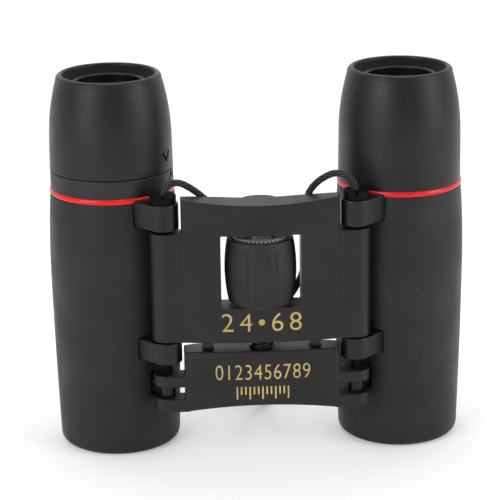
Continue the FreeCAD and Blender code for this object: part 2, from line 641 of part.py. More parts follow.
def prism_clip(sign):
    x = sign * BARREL_X
    return block(x - CLIP_WIDTH / 2, x + CLIP_WIDTH / 2,
                 BARREL_Y - CLIP_LENGTH / 2 + THREAD_GAP, BARREL_Y + CLIP_LENGTH / 2 - THREAD_GAP,
                 CLIP_Z, CLIP_Z + CLIP_THICKNESS)


def cage_lock_ring(sign):
    return ring(CAGE_R, CAGE_R - LOCK_RING_WIDTH, CAGE_FOOT_Z - LOCK_RING_HEIGHT, CAGE_FOOT_Z,
                sign * BARREL_X, BARREL_Y)


# ---------------------------------------------------------------- objectives
def objective_carriage(sign):
    x = sign * BARREL_X
    top_z = CARRIAGE_FOOT_Z + CARRIAGE_LENGTH
    body = lathe([(CARRIAGE_BORE_R, CARRIAGE_FOOT_Z), (CARRIAGE_R, CARRIAGE_FOOT_Z),
                  (CARRIAGE_R, top_z), (CARRIAGE_BORE_R, top_z),
                  (CARRIAGE_BORE_R, SEAT_Z + SEAT_HEIGHT), (OBJECTIVE_CLEAR_R, SEAT_Z + SEAT_HEIGHT),
                  (OBJECTIVE_CLEAR_R, SEAT_Z), (CARRIAGE_BORE_R, SEAT_Z)], x, BARREL_Y)
    arm = arm_web(sign, ARM_REACH - CARRIAGE_R + CARRIAGE_WALL / 2, ARM_HALF, ARM_Z, ARM_TOP_Z)
    eye = rod(ARM_EYE_R, ARM_Z, ARM_TOP_Z, sign * HINGE_X)
    return body.fuse(arm).fuse(eye).cut(pin_bore(sign, ARM_Z, ARM_TOP_Z))


def objective_crown(sign):
    return lens(OBJECTIVE_R, OBJECTIVE_CLEAR_R, CROWN_Z, FLINT_Z,
                OBJECTIVE_FRONT_CROWN, OBJECTIVE_CEMENT_CROWN, sign * BARREL_X)


def objective_flint(sign):
    return lens(OBJECTIVE_R, OBJECTIVE_CLEAR_R, FLINT_Z, SEAT_Z,
                -OBJECTIVE_CEMENT_CROWN - CEMENT_GAP, -FLINT_HOLLOW, sign * BARREL_X)


def objective_ring(sign):
    return ring(OBJECTIVE_R, OBJECTIVE_CLEAR_R, CARRIAGE_FOOT_Z, CROWN_Z, sign * BARREL_X, BARREL_Y)


# ---------------------------------------------------------------- hinge pins and eyelets
def hinge_pin(sign):
    return rod(PIN_R, PIN_FOOT_Z, PIN_TOP_Z, sign * HINGE_X)


def strap_eyelet(sign):
    """Cap on the pin, drilled for the cord, with a notch that opens to the front."""
    x = sign * HINGE_X
    top_z = EYELET_Z + EYELET_HEIGHT
    chamfer = EYELET_CHAMFER
    cap = lathe([(0, EYELET_Z), (EYELET_R, EYELET_Z), (EYELET_R, top_z - chamfer),
                 (EYELET_R - chamfer, top_z), (0, top_z)], x)
    hole = rod(CORD_HOLE_R, PIN_TOP_Z, top_z + EPS, x)
    notch = block(x - EYELET_NOTCH / 2, x + EYELET_NOTCH / 2, HINGE_Y - EYELET_R - EPS, HINGE_Y,
                  PIN_TOP_Z, top_z + EPS)
    return cap.cut(rod(PIN_R, EYELET_Z - EPS, PIN_TOP_Z, x)).cut(hole).cut(notch)


# ---------------------------------------------------------------- bridge plate and yoke
def plate_slab(z0, z1, bulge, flat_half, end_y):
    """Plan outline of a plate: crowned face with rounded ends, back set forward at its ends."""
    front_y = HINGE_Y - KNUCKLE_R
    back_y = HINGE_Y + PLATE_BACK_Y
    back_run = vec(PLATE_END_X - flat_half, HINGE_Y + end_y - back_y, 0)
    bow = PLATE_BACK_BOW
    middle_x = flat_half + back_run.x / 2 - back_run.y * bow
    middle_y = back_y + back_run.y / 2 + back_run.x * bow
    right_front = vec(PLATE_END_X, front_y, z0)
    right_end = vec(PLATE_END_X, HINGE_Y + end_y, z0)
    right_back = vec(flat_half, back_y, z0)
    left_front, left_end, left_back = [vec(-point.x, point.y, z0)
                                       for point in (right_front, right_end, right_back)]
    edges = [
        Part.Arc(left_front, vec(0, front_y - bulge, z0), right_front).toShape(),
        Part.LineSegment(right_front, right_end).toShape(),
        Part.Arc(right_end, vec(middle_x, middle_y, z0), right_back).toShape(),
        Part.LineSegment(right_back, left_back).toShape(),
        Part.Arc(left_back, vec(-middle_x, middle_y, z0), left_end).toShape(),
        Part.LineSegment(left_end, left_front).toShape()]
    slab = Part.Face(Part.Wire(edges)).extrude(vec(0, 0, z1 - z0))
    corners = [edge for edge in slab.Edges
               if all(abs(v.Y - front_y) < 1e-6 for v in edge.Vertexes)
               and abs(edge.Vertexes[0].X - edge.Vertexes[1].X) < 1e-6]
    return slab.makeFillet(PLATE_CORNER_R, corners)


def edge_hollow(edge_z, depth, above):
    """Cutting cylinder along Y that dishes a plate's edge by depth at its middle."""
    radius = (PLATE_END_X ** 2 + depth ** 2) / (2 * depth)
    centre_z = edge_z - depth + radius if above else edge_z + depth - radius
    return Part.makeCylinder(radius, 2 * BODY_BACK, vec(0, HINGE_Y - BODY_BACK, centre_z),
                             vec(0, 1, 0))


def soften_face(plate):
    """Round the outline of a plate's crowned face."""
    front_y = HINGE_Y - KNUCKLE_R
    edges = [edge for edge in plate.Edges
             if all(v.Y < front_y + 1e-6 for v in edge.Vertexes)
             and edge.CenterOfMass.y < front_y + 1e-6]
    return plate.makeFillet(PLATE_EDGE_R, edges)


def knuckle(sign, z0, z1):
    """Half-round knuckle at a plate's end, its face level with the plate's."""
    x = sign * HINGE_X
    root = sign * (PLATE_END_X - PLATE_CORNER_R - PLATE_EDGE_R)
    half_chord = math.sqrt(KNUCKLE_R ** 2 - KNUCKLE_BACK_Y ** 2)
    front = vec(x, HINGE_Y - KNUCKLE_R, z0)
    back = vec(x - sign * half_chord, HINGE_Y + KNUCKLE_BACK_Y, z0)
    root_front = vec(root, HINGE_Y - KNUCKLE_R, z0)
    root_back = vec(root, HINGE_Y + KNUCKLE_BACK_Y, z0)
    edges = [Part.LineSegment(root_front, front).toShape(),
             Part.Arc(front, vec(x + sign * KNUCKLE_R, HINGE_Y, z0), back).toShape(),
             Part.LineSegment(back, root_back).toShape(),
             Part.LineSegment(root_back, root_front).toShape()]
    solid = Part.Face(Part.Wire(edges)).extrude(vec(0, 0, z1 - z0))
    return soften(solid, KNUCKLE_EDGE_R, (z0, z1))


def tongue_space(sign, gap, z0, z1):
    half = TONGUE_WIDTH / 2 + gap
    depth = TONGUE_DEPTH / 2 + gap
    x = sign * TONGUE_X
    y = HINGE_Y + TONGUE_Y
    return block(x - half, x + half, y - depth, y + depth, z0, z1)


def wheel_window():
    half = WINDOW_WIDTH / 2
    depth = WHEEL_BELLY_R + EPS
    window = block(-half, half, HINGE_Y - depth, HINGE_Y + depth, WINDOW_FOOT_Z, WINDOW_TOP_Z)
    corners = [edge for edge in window.Edges
               if abs(edge.Vertexes[0].X - edge.Vertexes[1].X) < 1e-6
               and abs(edge.Vertexes[0].Z - edge.Vertexes[1].Z) < 1e-6]
    return window.makeFillet(WINDOW_CORNER_R, corners)


def bridge_plate():
    plate = plate_slab(BRIDGE_FOOT_Z, BRIDGE_TOP_Z, BRIDGE_BULGE, BRIDGE_FLAT_HALF, BRIDGE_END_Y)
    plate = plate.cut(edge_hollow(BRIDGE_TOP_Z, BRIDGE_TOP_DIP, True))
    plate = soften_face(plate)
    boss = rod(BOSS_R, BRIDGE_FOOT_Z, BRIDGE_TOP_Z)
    boss = boss.cut(block(-BOSS_R, BOSS_R, HINGE_Y - BOSS_R - EPS, HINGE_Y, BRIDGE_FOOT_Z, BRIDGE_TOP_Z))
    boss = boss.cut(edge_hollow(BRIDGE_TOP_Z, BRIDGE_TOP_DIP, True))
    plate = plate.fuse(boss).cut(wheel_window())
    for _, sign in SIDES:
        plate = plate.fuse(knuckle(sign, BRIDGE_FOOT_Z, BRIDGE_KNUCKLE_TOP_Z))
    for _, sign in SIDES:
        plate = plate.cut(rod(PIN_R, BRIDGE_FOOT_Z - EPS, BRIDGE_KNUCKLE_TOP_Z + EPS, sign * HINGE_X))
        plate = plate.cut(tongue_space(sign, 0, BRIDGE_FOOT_Z - EPS, TONGUE_TOP_Z))
    plate = plate.cut(rod(SCREW_R + SPINDLE_CLEARANCE, BRIDGE_FOOT_Z - EPS, WINDOW_FOOT_Z + EPS))
    return plate.cut(rod(SPINDLE_R + SPINDLE_CLEARANCE, WINDOW_TOP_Z - EPS,
                         SPINDLE_TOP_Z + SPINDLE_END_GAP))


def yoke_plate():
    plate = plate_slab(YOKE_FOOT_Z, YOKE_TOP_Z, YOKE_BULGE, YOKE_FLAT_HALF, YOKE_END_Y)
    plate = plate.cut(edge_hollow(YOKE_FOOT_Z, YOKE_FOOT_RISE, False))
    plate = soften_face(plate)
    boss = rod(YOKE_BOSS_R, YOKE_FOOT_Z, YOKE_TOP_Z)
    boss = boss.cut(block(-YOKE_BOSS_R, YOKE_BOSS_R, HINGE_Y - YOKE_BOSS_R - EPS, HINGE_Y,
                          YOKE_FOOT_Z, YOKE_TOP_Z))
    plate = plate.fuse(boss.cut(edge_hollow(YOKE_FOOT_Z, YOKE_FOOT_RISE, False)))
    for _, sign in SIDES:
        plate = plate.fuse(knuckle(sign, YOKE_KNUCKLE_Z, YOKE_KNUCKLE_TOP_Z))
        plate = plate.fuse(knuckle(sign, YOKE_FOOT_Z, YOKE_FOOT_KNUCKLE_TOP_Z))
    for _, sign in SIDES:
        plate = plate.cut(pin_bore(sign, YOKE_FOOT_Z, YOKE_TOP_Z))
        plate = plate.cut(tongue_space(sign, TONGUE_CLEARANCE, TONGUE_POCKET_Z, YOKE_TOP_Z + EPS))
    plate = plate.cut(rod(NUT_R, NUT_FOOT_Z, YOKE_TOP_Z + EPS))
    return plate.cut(rod(SCREW_R + SCREW_WELL_GAP, YOKE_FOOT_Z - EPS, YOKE_TOP_Z))


def yoke_nut():
    return ring(NUT_R, SCREW_R + SPINDLE_CLEARANCE, NUT_FOOT_Z, YOKE_TOP_Z)


def guide_tongue(sign):
    return tongue_space(sign, 0, TONGUE_FOOT_Z, TONGUE_TOP_Z)


# ---------------------------------------------------------------- focusing wheel
def focus_spindle():
    body = lathe([(0, SCREW_FOOT_Z), (SCREW_R - SCREW_CHAMFER, SCREW_FOOT_Z),
                  (SCREW_R, SCREW_FOOT_Z + SCREW_CHAMFER),
                  (SCREW_R, WINDOW_FOOT_Z), (SPINDLE_R, WINDOW_FOOT_Z), (SPINDLE_R, SPINDLE_TOP_Z),
                  (0, SPINDLE_TOP_Z)])
    return body.cut(cross_pin())


def cross_pin():
    half = WHEEL_CORE_R - CROSS_PIN_SINK
    return Part.makeCylinder(CROSS_PIN_R, 2 * half, vec(-half, HINGE_Y, CROSS_PIN_Z), vec(1, 0, 0))


def wheel_hub():
    """Core and foot of the wheel, with a toothed crown round its top."""
    bevel_r = WHEEL_TOP_R - WHEEL_CROWN_BEVEL
    bevel_z = WHEEL_TOP_Z - WHEEL_CROWN_BEVEL
    crown_r = WHEEL_TOP_R - WHEEL_CROWN_WIDTH
    core = lathe([(SPINDLE_R, WHEEL_Z), (WHEEL_FOOT_R - WHEEL_FOOT_CHAMFER, WHEEL_Z),
                  (WHEEL_FOOT_R, WHEEL_Z + WHEEL_FOOT_CHAMFER), (WHEEL_FOOT_R, GRIP_FOOT_Z),
                  (WHEEL_CORE_R, GRIP_FOOT_Z), (WHEEL_CORE_R, GRIP_TOP_Z), (crown_r, GRIP_TOP_Z),
                  (crown_r, WHEEL_TOP_Z), (SPINDLE_R, WHEEL_TOP_Z)])
    crown = lathe([(crown_r, GRIP_TOP_Z), (WHEEL_TOP_R, GRIP_TOP_Z), (WHEEL_TOP_R, bevel_z),
                   (bevel_r, WHEEL_TOP_Z), (crown_r, WHEEL_TOP_Z)])
    # Each tooth space is a V that opens by the share of the pitch at the rim.
    half = math.pi * WHEEL_TOP_R / WHEEL_TEETH * WHEEL_TOOTH_SHARE
    overrun = half / WHEEL_TOOTH_DEPTH * (WHEEL_TOOTH_DEPTH + EPS)
    space = prism([(WHEEL_TOP_R + EPS, -overrun), (WHEEL_TOP_R - WHEEL_TOOTH_DEPTH, 0),
                   (WHEEL_TOP_R + EPS, overrun)], GRIP_TOP_Z - EPS, WHEEL_TOP_Z + EPS)
    spaces = around_axis(space, WHEEL_TEETH)
    return core.fuse(crown.cut(spaces)).cut(cross_pin())


def around_axis(shape, count):
    """Equally spaced copies of a shape round the wheel's axis; it is drawn about the Z axis."""
    copies = []
    for index in range(count):
        copy = shape.copy()
        copy.rotate(vec(0, 0, 0), vec(0, 0, 1), 360.0 * (index + 0.5) / count)
        copy.translate(vec(0, HINGE_Y, 0))
        copies.append(copy)
    return Part.makeCompound(copies)


def wheel_grip():
    """Barrel-shaped rubber sleeve with shallow flutes that fade out towards its ends."""
    belly_z = (GRIP_FOOT_Z + GRIP_TOP_Z) / 2
    sleeve = lathe([(WHEEL_CORE_R, GRIP_FOOT_Z), (WHEEL_FOOT_R, GRIP_FOOT_Z),
                    ("arc", (WHEEL_BELLY_R, belly_z), (WHEEL_TOP_R + GRIP_LAP, GRIP_TOP_Z)),
                    (WHEEL_CORE_R, GRIP_TOP_Z)])
    flute = Part.makeCylinder(GRIP_FLUTE_R, GRIP_TOP_Z - GRIP_FOOT_Z + 2 * EPS,
                              vec(0, -(WHEEL_BELLY_R - GRIP_FLUTE_DEPTH + GRIP_FLUTE_R),
                                  GRIP_FOOT_Z - EPS))
    return sleeve.cut(around_axis(flute, GRIP_FLUTES))


def thrust_washer(z0):
    return ring(WASHER_R, SPINDLE_R + SPINDLE_CLEARANCE, z0, z0 + WASHER_THICKNESS)


# ---------------------------------------------------------------- neck strap
# Control points of the cord's route, as (x, distance behind the hinge pins, z).
LEFT_CORD = [(-22.8, 0.0, 66.2), (-22.65, 0.0, 67.3), (-21.9, 0.3, 68.7), (-20.4, 0.85, 69.45),
             (-18.6, 1.5, 69.2), (-16.9, 2.15, 68.15), (-15.2, 2.8, 66.8), (-13.4, 3.3, 65.2),
             (-11.2, 3.9, 62.8), (-8.4, 5.2, 60.2), (-5.4, 7.3, 57.6), (-2.7, 9.8, 54.2),
             (-0.9, 11.6, 49.3), (0.0, 13.2, 43.6), (0.2, 15.2, 37.4), (0.1, 17.7, 31.2),
             (-0.1, 20.4, 25.2), (0.0, 23.4, 19.6), (-0.1, 26.8, 14.6), (-0.7, 30.6, 10.6),
             (-2.4, 34.4, 7.9), (-5.3, 38.2, 6.5), (-8.3, 42.2, 6.0), (-9.35, 47.0, 5.95)]
RIGHT_CORD = [(22.8, 0.0, 66.2), (22.75, 0.0, 67.2), (22.35, 0.15, 68.4), (21.3, 0.5, 69.8),
              (19.7, 0.95, 70.6), (17.7, 1.5, 70.65), (15.7, 2.25, 69.6), (13.8, 2.9, 68.1),
              (12.3, 3.4, 66.2), (11.1, 3.9, 63.8), (10.3, 4.3, 60.6), (9.7, 4.4, 56.4),
              (10.1, 4.4, 51.8), (9.6, 4.4, 47.2), (9.0, 4.9, 42.6), (7.3, 6.5, 38.2),
              (4.5, 8.7, 34.2), (1.9, 11.3, 30.0), (0.5, 13.8, 24.8), (0.0, 16.5, 19.2),
              (0.1, 19.6, 13.8), (0.0, 23.2, 9.2), (0.2, 27.2, 5.5), (0.9, 31.2, 2.9),
              (2.9, 35.2, 1.45), (5.7, 38.8, 0.95), (8.4, 42.6, 0.86), (9.35, 47.0, 0.85)]


def cord_tube(name, points):
    """Straight runs joined by tangent arcs, swept with the cord's round section."""
    route = [vec(x, HINGE_Y + back, z) for x, back, z in points]
    edges = []
    here = route[0]
    smallest = None
    for before, corner, after in zip(route, route[1:], route[2:]):
        toward = (corner - before).normalize()
        away = (after - corner).normalize()
        turn = toward.getAngle(away)
        shorter = min((corner - before).Length, (after - corner).Length)
        radius = 0.45 * shorter / math.tan(turn / 2)
        cut = radius * math.tan(turn / 2)
        start = corner - toward * cut
        end = corner + away * cut
        bisector = (away - toward).normalize()
        centre = corner + bisector * (radius / math.cos(turn / 2))
        middle = centre - bisector * radius
        edges.append(Part.LineSegment(here, start).toShape())
        edges.append(Part.Arc(start, middle, end).toShape())
        here = end
        smallest = radius if smallest is None else min(smallest, radius)
    edges.append(Part.LineSegment(here, route[-1]).toShape())
    path = Part.Wire(edges)
    first = (route[1] - route[0]).normalize()
    section = Part.Wire(Part.Circle(route[0], first, CORD_R).toShape())
    tube = path.makePipeShell([section], True, False)
    expected = math.pi * CORD_R ** 2 * path.Length
    print(name, "length", round(path.Length, 2), "smallest radius", round(smallest, 2),
          "volume ratio", round(tube.Volume / expected, 4))
    return tube


def strap_coil():
    half = COIL_COLUMNS * CORD_R
    height = COIL_LAYERS * 2 * CORD_R
    soft = CORD_R
    turn = soft * (1 - math.sqrt(0.5))
    inner = COIL_MEAN_R - half
    outer = COIL_MEAN_R + half
    return lathe([(inner + soft, 0), (outer - soft, 0),
                  ("arc", (outer - turn, turn), (outer, soft)), (outer, height - soft),
                  ("arc", (outer - turn, height - turn), (outer - soft, height)),
                  (inner + soft, height),
                  ("arc", (inner + turn, height - turn), (inner, height - soft)), (inner, soft),
                  ("arc", (inner + turn, turn), (inner + soft, 0))], 0.0, HINGE_Y + COIL_BACK)


# ---------------------------------------------------------------- build
os.makedirs("parts", exist_ok=True)

for side, sign in SIDES:
    is_left = sign < 0
    save(side + "_barrel_tube", barrel_tube(sign))
    save(side + "_barrel_armour", barrel_armour(sign))
    save(side + "_red_ring", red_ring(sign))
    sleeve_top = NECK_TOP_Z + JOURNAL_HEIGHT if is_left else NECK_TOP_Z
    sleeve_bore = OCULAR_R + (OCULAR_CLEARANCE if is_left else THREAD_GAP)
    save(side + "_ocular_sleeve", ocular_sleeve(sign, sleeve_bore, sleeve_top))
    save(side + "_ocular_tube", ocular_tube(sign))
    save(side + "_eye_lens", eye_lens(sign))
    save(side + "_field_lens", field_lens(sign))
    save(side + "_ocular_ring", ocular_ring(sign))
    save(side + "_prism_cage", prism_cage(sign))
    save(side + "_half_penta_prism", half_penta_prism(sign))
    save(side + "_roof_prism", roof_prism(sign))
    save(side + "_prism_clip", prism_clip(sign))
    save(side + "_cage_lock_ring", cage_lock_ring(sign))
    save(side + "_objective_carriage", objective_carriage(sign))
    save(side + "_objective_crown", objective_crown(sign))
    save(side + "_objective_flint", objective_flint(sign))
    save(side + "_objective_ring", objective_ring(sign))
    save(side + "_hinge_pin", hinge_pin(sign))
    save(side + "_strap_eyelet", strap_eyelet(sign))
    save(side + "_guide_tongue", guide_tongue(sign))

save("left_diopter_collar", diopter_collar(-1))
save("left_snap_ring", snap_ring(-1))
save("left_eyecup", eyecup(-1, LEFT_CUP_Z, SLEEVE_R + JOURNAL_CLEARANCE, False))
save("right_eyecup", eyecup(1, COLLAR_Z, NECK_BORE_R, True))
save("bridge_plate", bridge_plate())
save("yoke_plate", yoke_plate())
save("yoke_nut", yoke_nut())
save("focus_spindle", focus_spindle())
save("wheel_hub", wheel_hub())
save("wheel_grip", wheel_grip())
save("wheel_cross_pin", cross_pin())
save("lower_thrust_washer", thrust_washer(WINDOW_FOOT_Z))
save("upper_thrust_washer", thrust_washer(WHEEL_TOP_Z))
save("left_strap_cord", cord_tube("left_strap_cord", LEFT_CORD))
save("right_strap_cord", cord_tube("right_strap_cord", RIGHT_CORD))
save("strap_coil", strap_coil())
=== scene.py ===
# %% [markdown]
# # Compact folding binoculars
# The construction is finished already: a frame of separate named parts, each riding on the body
# that moves it. This lesson only dresses it. It sets up the view, lays the neck cord, gives every
# part a finish made of shader nodes, and adds the pieces that are easier to make as surfaces than
# as solids: the cord's weave, the screw's thread, the fluted wheel and the raised figures.
#
# The first cell loads the frame. Everything is in metres, and a part's place is in its mesh, so a
# new piece goes where the frame says and never has to be fitted by eye.

# %% Load the frame
import json
import math

import bmesh
import bpy
import numpy as np
from mathutils import Matrix, Vector

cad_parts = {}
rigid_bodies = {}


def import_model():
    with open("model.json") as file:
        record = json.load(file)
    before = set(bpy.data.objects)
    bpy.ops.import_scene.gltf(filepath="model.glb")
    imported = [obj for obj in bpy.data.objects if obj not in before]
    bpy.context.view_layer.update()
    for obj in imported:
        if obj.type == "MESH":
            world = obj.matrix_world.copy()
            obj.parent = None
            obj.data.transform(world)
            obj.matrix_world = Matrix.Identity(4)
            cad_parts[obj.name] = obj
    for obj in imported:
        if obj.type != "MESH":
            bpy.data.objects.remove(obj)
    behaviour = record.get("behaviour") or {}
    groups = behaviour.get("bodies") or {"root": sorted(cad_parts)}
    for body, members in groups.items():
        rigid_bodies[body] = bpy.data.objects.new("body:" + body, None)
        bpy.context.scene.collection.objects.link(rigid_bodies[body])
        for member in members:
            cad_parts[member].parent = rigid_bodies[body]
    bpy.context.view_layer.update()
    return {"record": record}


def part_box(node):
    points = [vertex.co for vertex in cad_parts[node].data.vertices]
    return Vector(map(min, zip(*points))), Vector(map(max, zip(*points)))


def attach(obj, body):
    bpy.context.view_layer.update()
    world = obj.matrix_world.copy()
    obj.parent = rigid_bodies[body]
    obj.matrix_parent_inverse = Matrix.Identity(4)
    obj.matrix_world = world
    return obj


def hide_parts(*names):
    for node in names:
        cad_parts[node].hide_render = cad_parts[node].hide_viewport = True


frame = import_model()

MM = 0.001


def upright_axis(node_name):
    """Where the upright axis of a round part stands: the middle of its box in x and y."""
    low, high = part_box(node_name)
    return (low[0] + high[0]) / 2, (low[1] + high[1]) / 2


# %% [markdown]
# ## The view
# A small object seen from about half a metre through a long lens keeps its verticals almost
# parallel. A camera can be turned with three typed angles, but it is easier to read when it is told
# where it stands and what it looks at, so the turn is worked out from those two points, and then
# the slight roll of the hand is added.

# %% Camera
HAND_ROLL = math.radians(-0.878)


def linked(name, data):
    """A new object that carries the data, put in the scene."""
    made = bpy.data.objects.new(name, data)
    bpy.context.scene.collection.objects.link(made)
    return made


hinge_y = upright_axis("left_hinge_pin")[1]
eye = Vector((-21.48 * MM, hinge_y - 443.59 * MM, 192.05 * MM))
aim = Vector((-2.419 * MM, hinge_y, 52.614 * MM))
turn = (aim - eye).to_track_quat("-Z", "Y").to_matrix() @ Matrix.Rotation(HAND_ROLL, 3, "Z")
lens = bpy.data.cameras.new("camera")
lens.lens = 140.83
lens.sensor_width = 36.0
lens.clip_start = 0.01
camera = linked("camera", lens)
camera.matrix_world = Matrix.Translation(eye) @ turn.to_4x4()
bpy.context.scene.camera = camera
print("camera looks", round((aim - eye).length, 3), "m ahead; right axis",
      [round(v, 5) for v in turn.col[0]])

# %% [markdown]
# ## The neck cord
# The cord of such glasses is a limp braid, 1.7 mm thick and about 0.9 m long, with both ends held
# in the eyelets on top of the hinge pins. The rest of it is put away behind the yoke, in a neat
# coil three turns wide and four high. A cord could be a swept tube, but a NURBS curve stays one
# smooth line through few points, as a limp thing does, so the whole cord follows one such curve:
# the left lead, the coil and the right lead.
#
# A flat layer of turns can only spiral in or out, so the coil does what a winding machine does:
# each turn is a plain circle, and steps over to the next column in one short stretch. A layer's
# last turn steps down round the turn beside it. The stretch comes earlier in each lower layer, so
# that the turn below has always moved out of the way.

# %% Route of the cord
CORD_R = 0.85 * MM
COIL_TURNS = 11.45
coil_x, coil_y = upright_axis("strap_coil")
# The leads' points are typed in metres, from the eyelet towards the coil.
left_lead = [
    (-0.0228, -0.01161, 0.06620), (-0.0226, -0.01161, 0.06730), (-0.0219, -0.01131, 0.06870),
    (-0.0204, -0.01076, 0.06945), (-0.0186, -0.01011, 0.06920), (-0.0169, -0.00946, 0.06815),
    (-0.0152, -0.00881, 0.06680), (-0.0134, -0.00831, 0.06520), (-0.0112, -0.00771, 0.06280),
    (-0.0084, -0.00641, 0.06020), (-0.0054, -0.00431, 0.05760), (-0.0027, -0.00181, 0.05420),
    (-0.0009, -0.00001, 0.04930), (0.0000, 0.00159, 0.04360), (0.0002, 0.00359, 0.03740),
    (0.0001, 0.00609, 0.03120), (-0.0001, 0.00879, 0.02520), (0.0000, 0.01179, 0.01960),
    (-0.0001, 0.01519, 0.01460), (-0.0007, 0.01919, 0.01090), (-0.0026, 0.02279, 0.00850),
    (-0.0062, 0.02629, 0.00700), (-0.0102, 0.03039, 0.00610)]

right_lead = [
    (0.0228, -0.01161, 0.06620), (0.0227, -0.01161, 0.06720), (0.0224, -0.01146, 0.06840),
    (0.0213, -0.01111, 0.06980), (0.0197, -0.01066, 0.07060), (0.0177, -0.01011, 0.07065),
    (0.0157, -0.00936, 0.06960), (0.0138, -0.00871, 0.06810), (0.0123, -0.00821, 0.06620),
    (0.0113, -0.00781, 0.06380), (0.0110, -0.00791, 0.06060), (0.0112, -0.00801, 0.05640),
    (0.0114, -0.00801, 0.05180), (0.0110, -0.00791, 0.04740), (0.0096, -0.00711, 0.04300),
    (0.0073, -0.00511, 0.03820), (0.0045, -0.00291, 0.03420), (0.0019, -0.00031, 0.03000),
    (0.0005, 0.00219, 0.02480), (0.0000, 0.00489, 0.01920), (0.0001, 0.00799, 0.01380),
    (0.0000, 0.01159, 0.00920), (0.0003, 0.01559, 0.00550), (0.0015, 0.01959, 0.00290),
    (0.0046, 0.02279, 0.00145), (0.0090, 0.02599, 0.00095), (0.0122, 0.03059, 0.00086)]


def step(x):
    """Smooth step: 0 below 0, 1 above 1, and 3x^2 - 2x^3 between."""
    x = np.clip(x, 0.0, 1.0)
    return x * x * (3 - 2 * x)


def coil_points(turns, per_turn=18, column=1.7, middle=9.35, width=0.17, slack=1.008,
                leave=11.24, leave_width=0.2):
    """Control points of a layered coil, wound clockwise from the top layer down. In layer k a turn
    steps to the next column at phase 0.75 - 0.17k of each turn, inwards in layers 0 and 2,
    outwards in 1 and 3; each third step goes down by a quarter circle instead."""
    s = np.arange(1, int(turns * per_turn)) / per_turn
    across = np.full_like(s, 1.0)              # columns outside the middle one
    down = np.zeros_like(s)                    # layers below the top one
    for layer in range(4):
        way = -1.0 if layer % 2 == 0 else 1.0
        start = 3 * layer + 0.75 - width * layer
        for k in range(2):
            across = across + way * step((s - start - k) / width)
        if layer < 3:
            across = across + way * 0.25 * np.sin(np.pi * np.clip((s - start - 2) / width, 0, 1))
            down = down + step((s - start - 2) / width)
    across = across + step((s - leave) / leave_width)    # the last turn leaves the outside
    angle = math.pi - 2 * math.pi * s
    radius = (middle + column * across) * slack * MM
    height = (column / 2 + column * (3 - down)) * MM
    return np.stack([coil_x + radius * np.cos(angle), coil_y + radius * np.sin(angle), height], 1)


cord_points = np.concatenate([np.array(left_lead), coil_points(COIL_TURNS),
                              np.array(right_lead)[::-1]])
print("cord:", len(cord_points), "points, coil centre", round(coil_x, 4), round(coil_y, 4))

# %% [markdown]
# ## Surfaces from grids
# The cord, the screw, the wheel and the index marks are all one kind of surface: rings of points,
# one after another, joined by four-sided faces. Blender's own curves and modifiers could make some
# of them, but a grid of points can have any section, so one set of helpers serves them all. Along
# a cord, each ring stands across the route and is carried on without twisting.

# %% Surfaces from grids of points
def mesh_points(mesh):
    """The points of a mesh as rows of x, y, z."""
    points = np.empty(3 * len(mesh.vertices))
    mesh.vertices.foreach_get("co", points)
    return points.reshape(-1, 3)


def smooth_route(points):
    """The points along one open NURBS spline of order 3 through its control points."""
    curve = bpy.data.curves.new("route", "CURVE")
    curve.dimensions = "3D"
    spline = curve.splines.new("NURBS")
    spline.points.add(len(points) - 1)
    spline.points.foreach_set("co", np.concatenate([points, np.ones((len(points), 1))], 1).ravel())
    spline.order_u = 3
    spline.use_endpoint_u = True
    spline.resolution_u = 8
    carrier = bpy.data.objects.new("route", curve)
    line = bpy.data.meshes.new_from_object(carrier)
    route = mesh_points(line)
    bpy.data.meshes.remove(line)
    bpy.data.objects.remove(carrier)
    bpy.data.curves.remove(curve)
    return route


def even_stations(route, spacing):
    """Points along a route at one even spacing, and how far along it each is."""
    run = np.concatenate([[0.0], np.cumsum(np.linalg.norm(np.diff(route, axis=0), axis=1))])
    along = np.linspace(0.0, run[-1], int(round(run[-1] / spacing)) + 1)
    return np.stack([np.interp(along, run, route[:, k]) for k in range(3)], 1), along


def crossing_frames(stations):
    """Two unit vectors across the route at each station, carried along it without twisting:
    each normal is the one before it, less its part along the new direction."""
    ahead = np.gradient(stations, axis=0)
    ahead /= np.linalg.norm(ahead, axis=1)[:, None]
    normal = np.empty_like(ahead)
    last = np.cross(ahead[0], (0.0, 1.0, 0.0))
    for i, way in enumerate(ahead):
        last = last - way * (last @ way)
        last = last / np.linalg.norm(last)
        normal[i] = last
    return normal, np.cross(ahead, normal)


def ring_faces(rows, around, closed=False):
    """Quads between neighbours on a grid whose rings are closed, and whose last ring joins the
    first if asked. Also gives each quad's row i and column j."""
    i, j = np.meshgrid(np.arange(rows if closed else rows - 1), np.arange(around), indexing="ij")
    above, after = (i + 1) % rows, (j + 1) % around
    corners = (i * around + j, i * around + after, above * around + after, above * around + j)
    return np.stack(corners, -1).reshape(-1, 4), i, j


def new_piece(name, points, faces, smooth=False):
    """A piece from points and faces, in the scene."""
    mesh = bpy.data.meshes.new(name)
    mesh.from_pydata(points, [], faces)
    mesh.polygons.foreach_set("use_smooth", np.full(len(mesh.polygons), smooth))
    return linked(name, mesh)


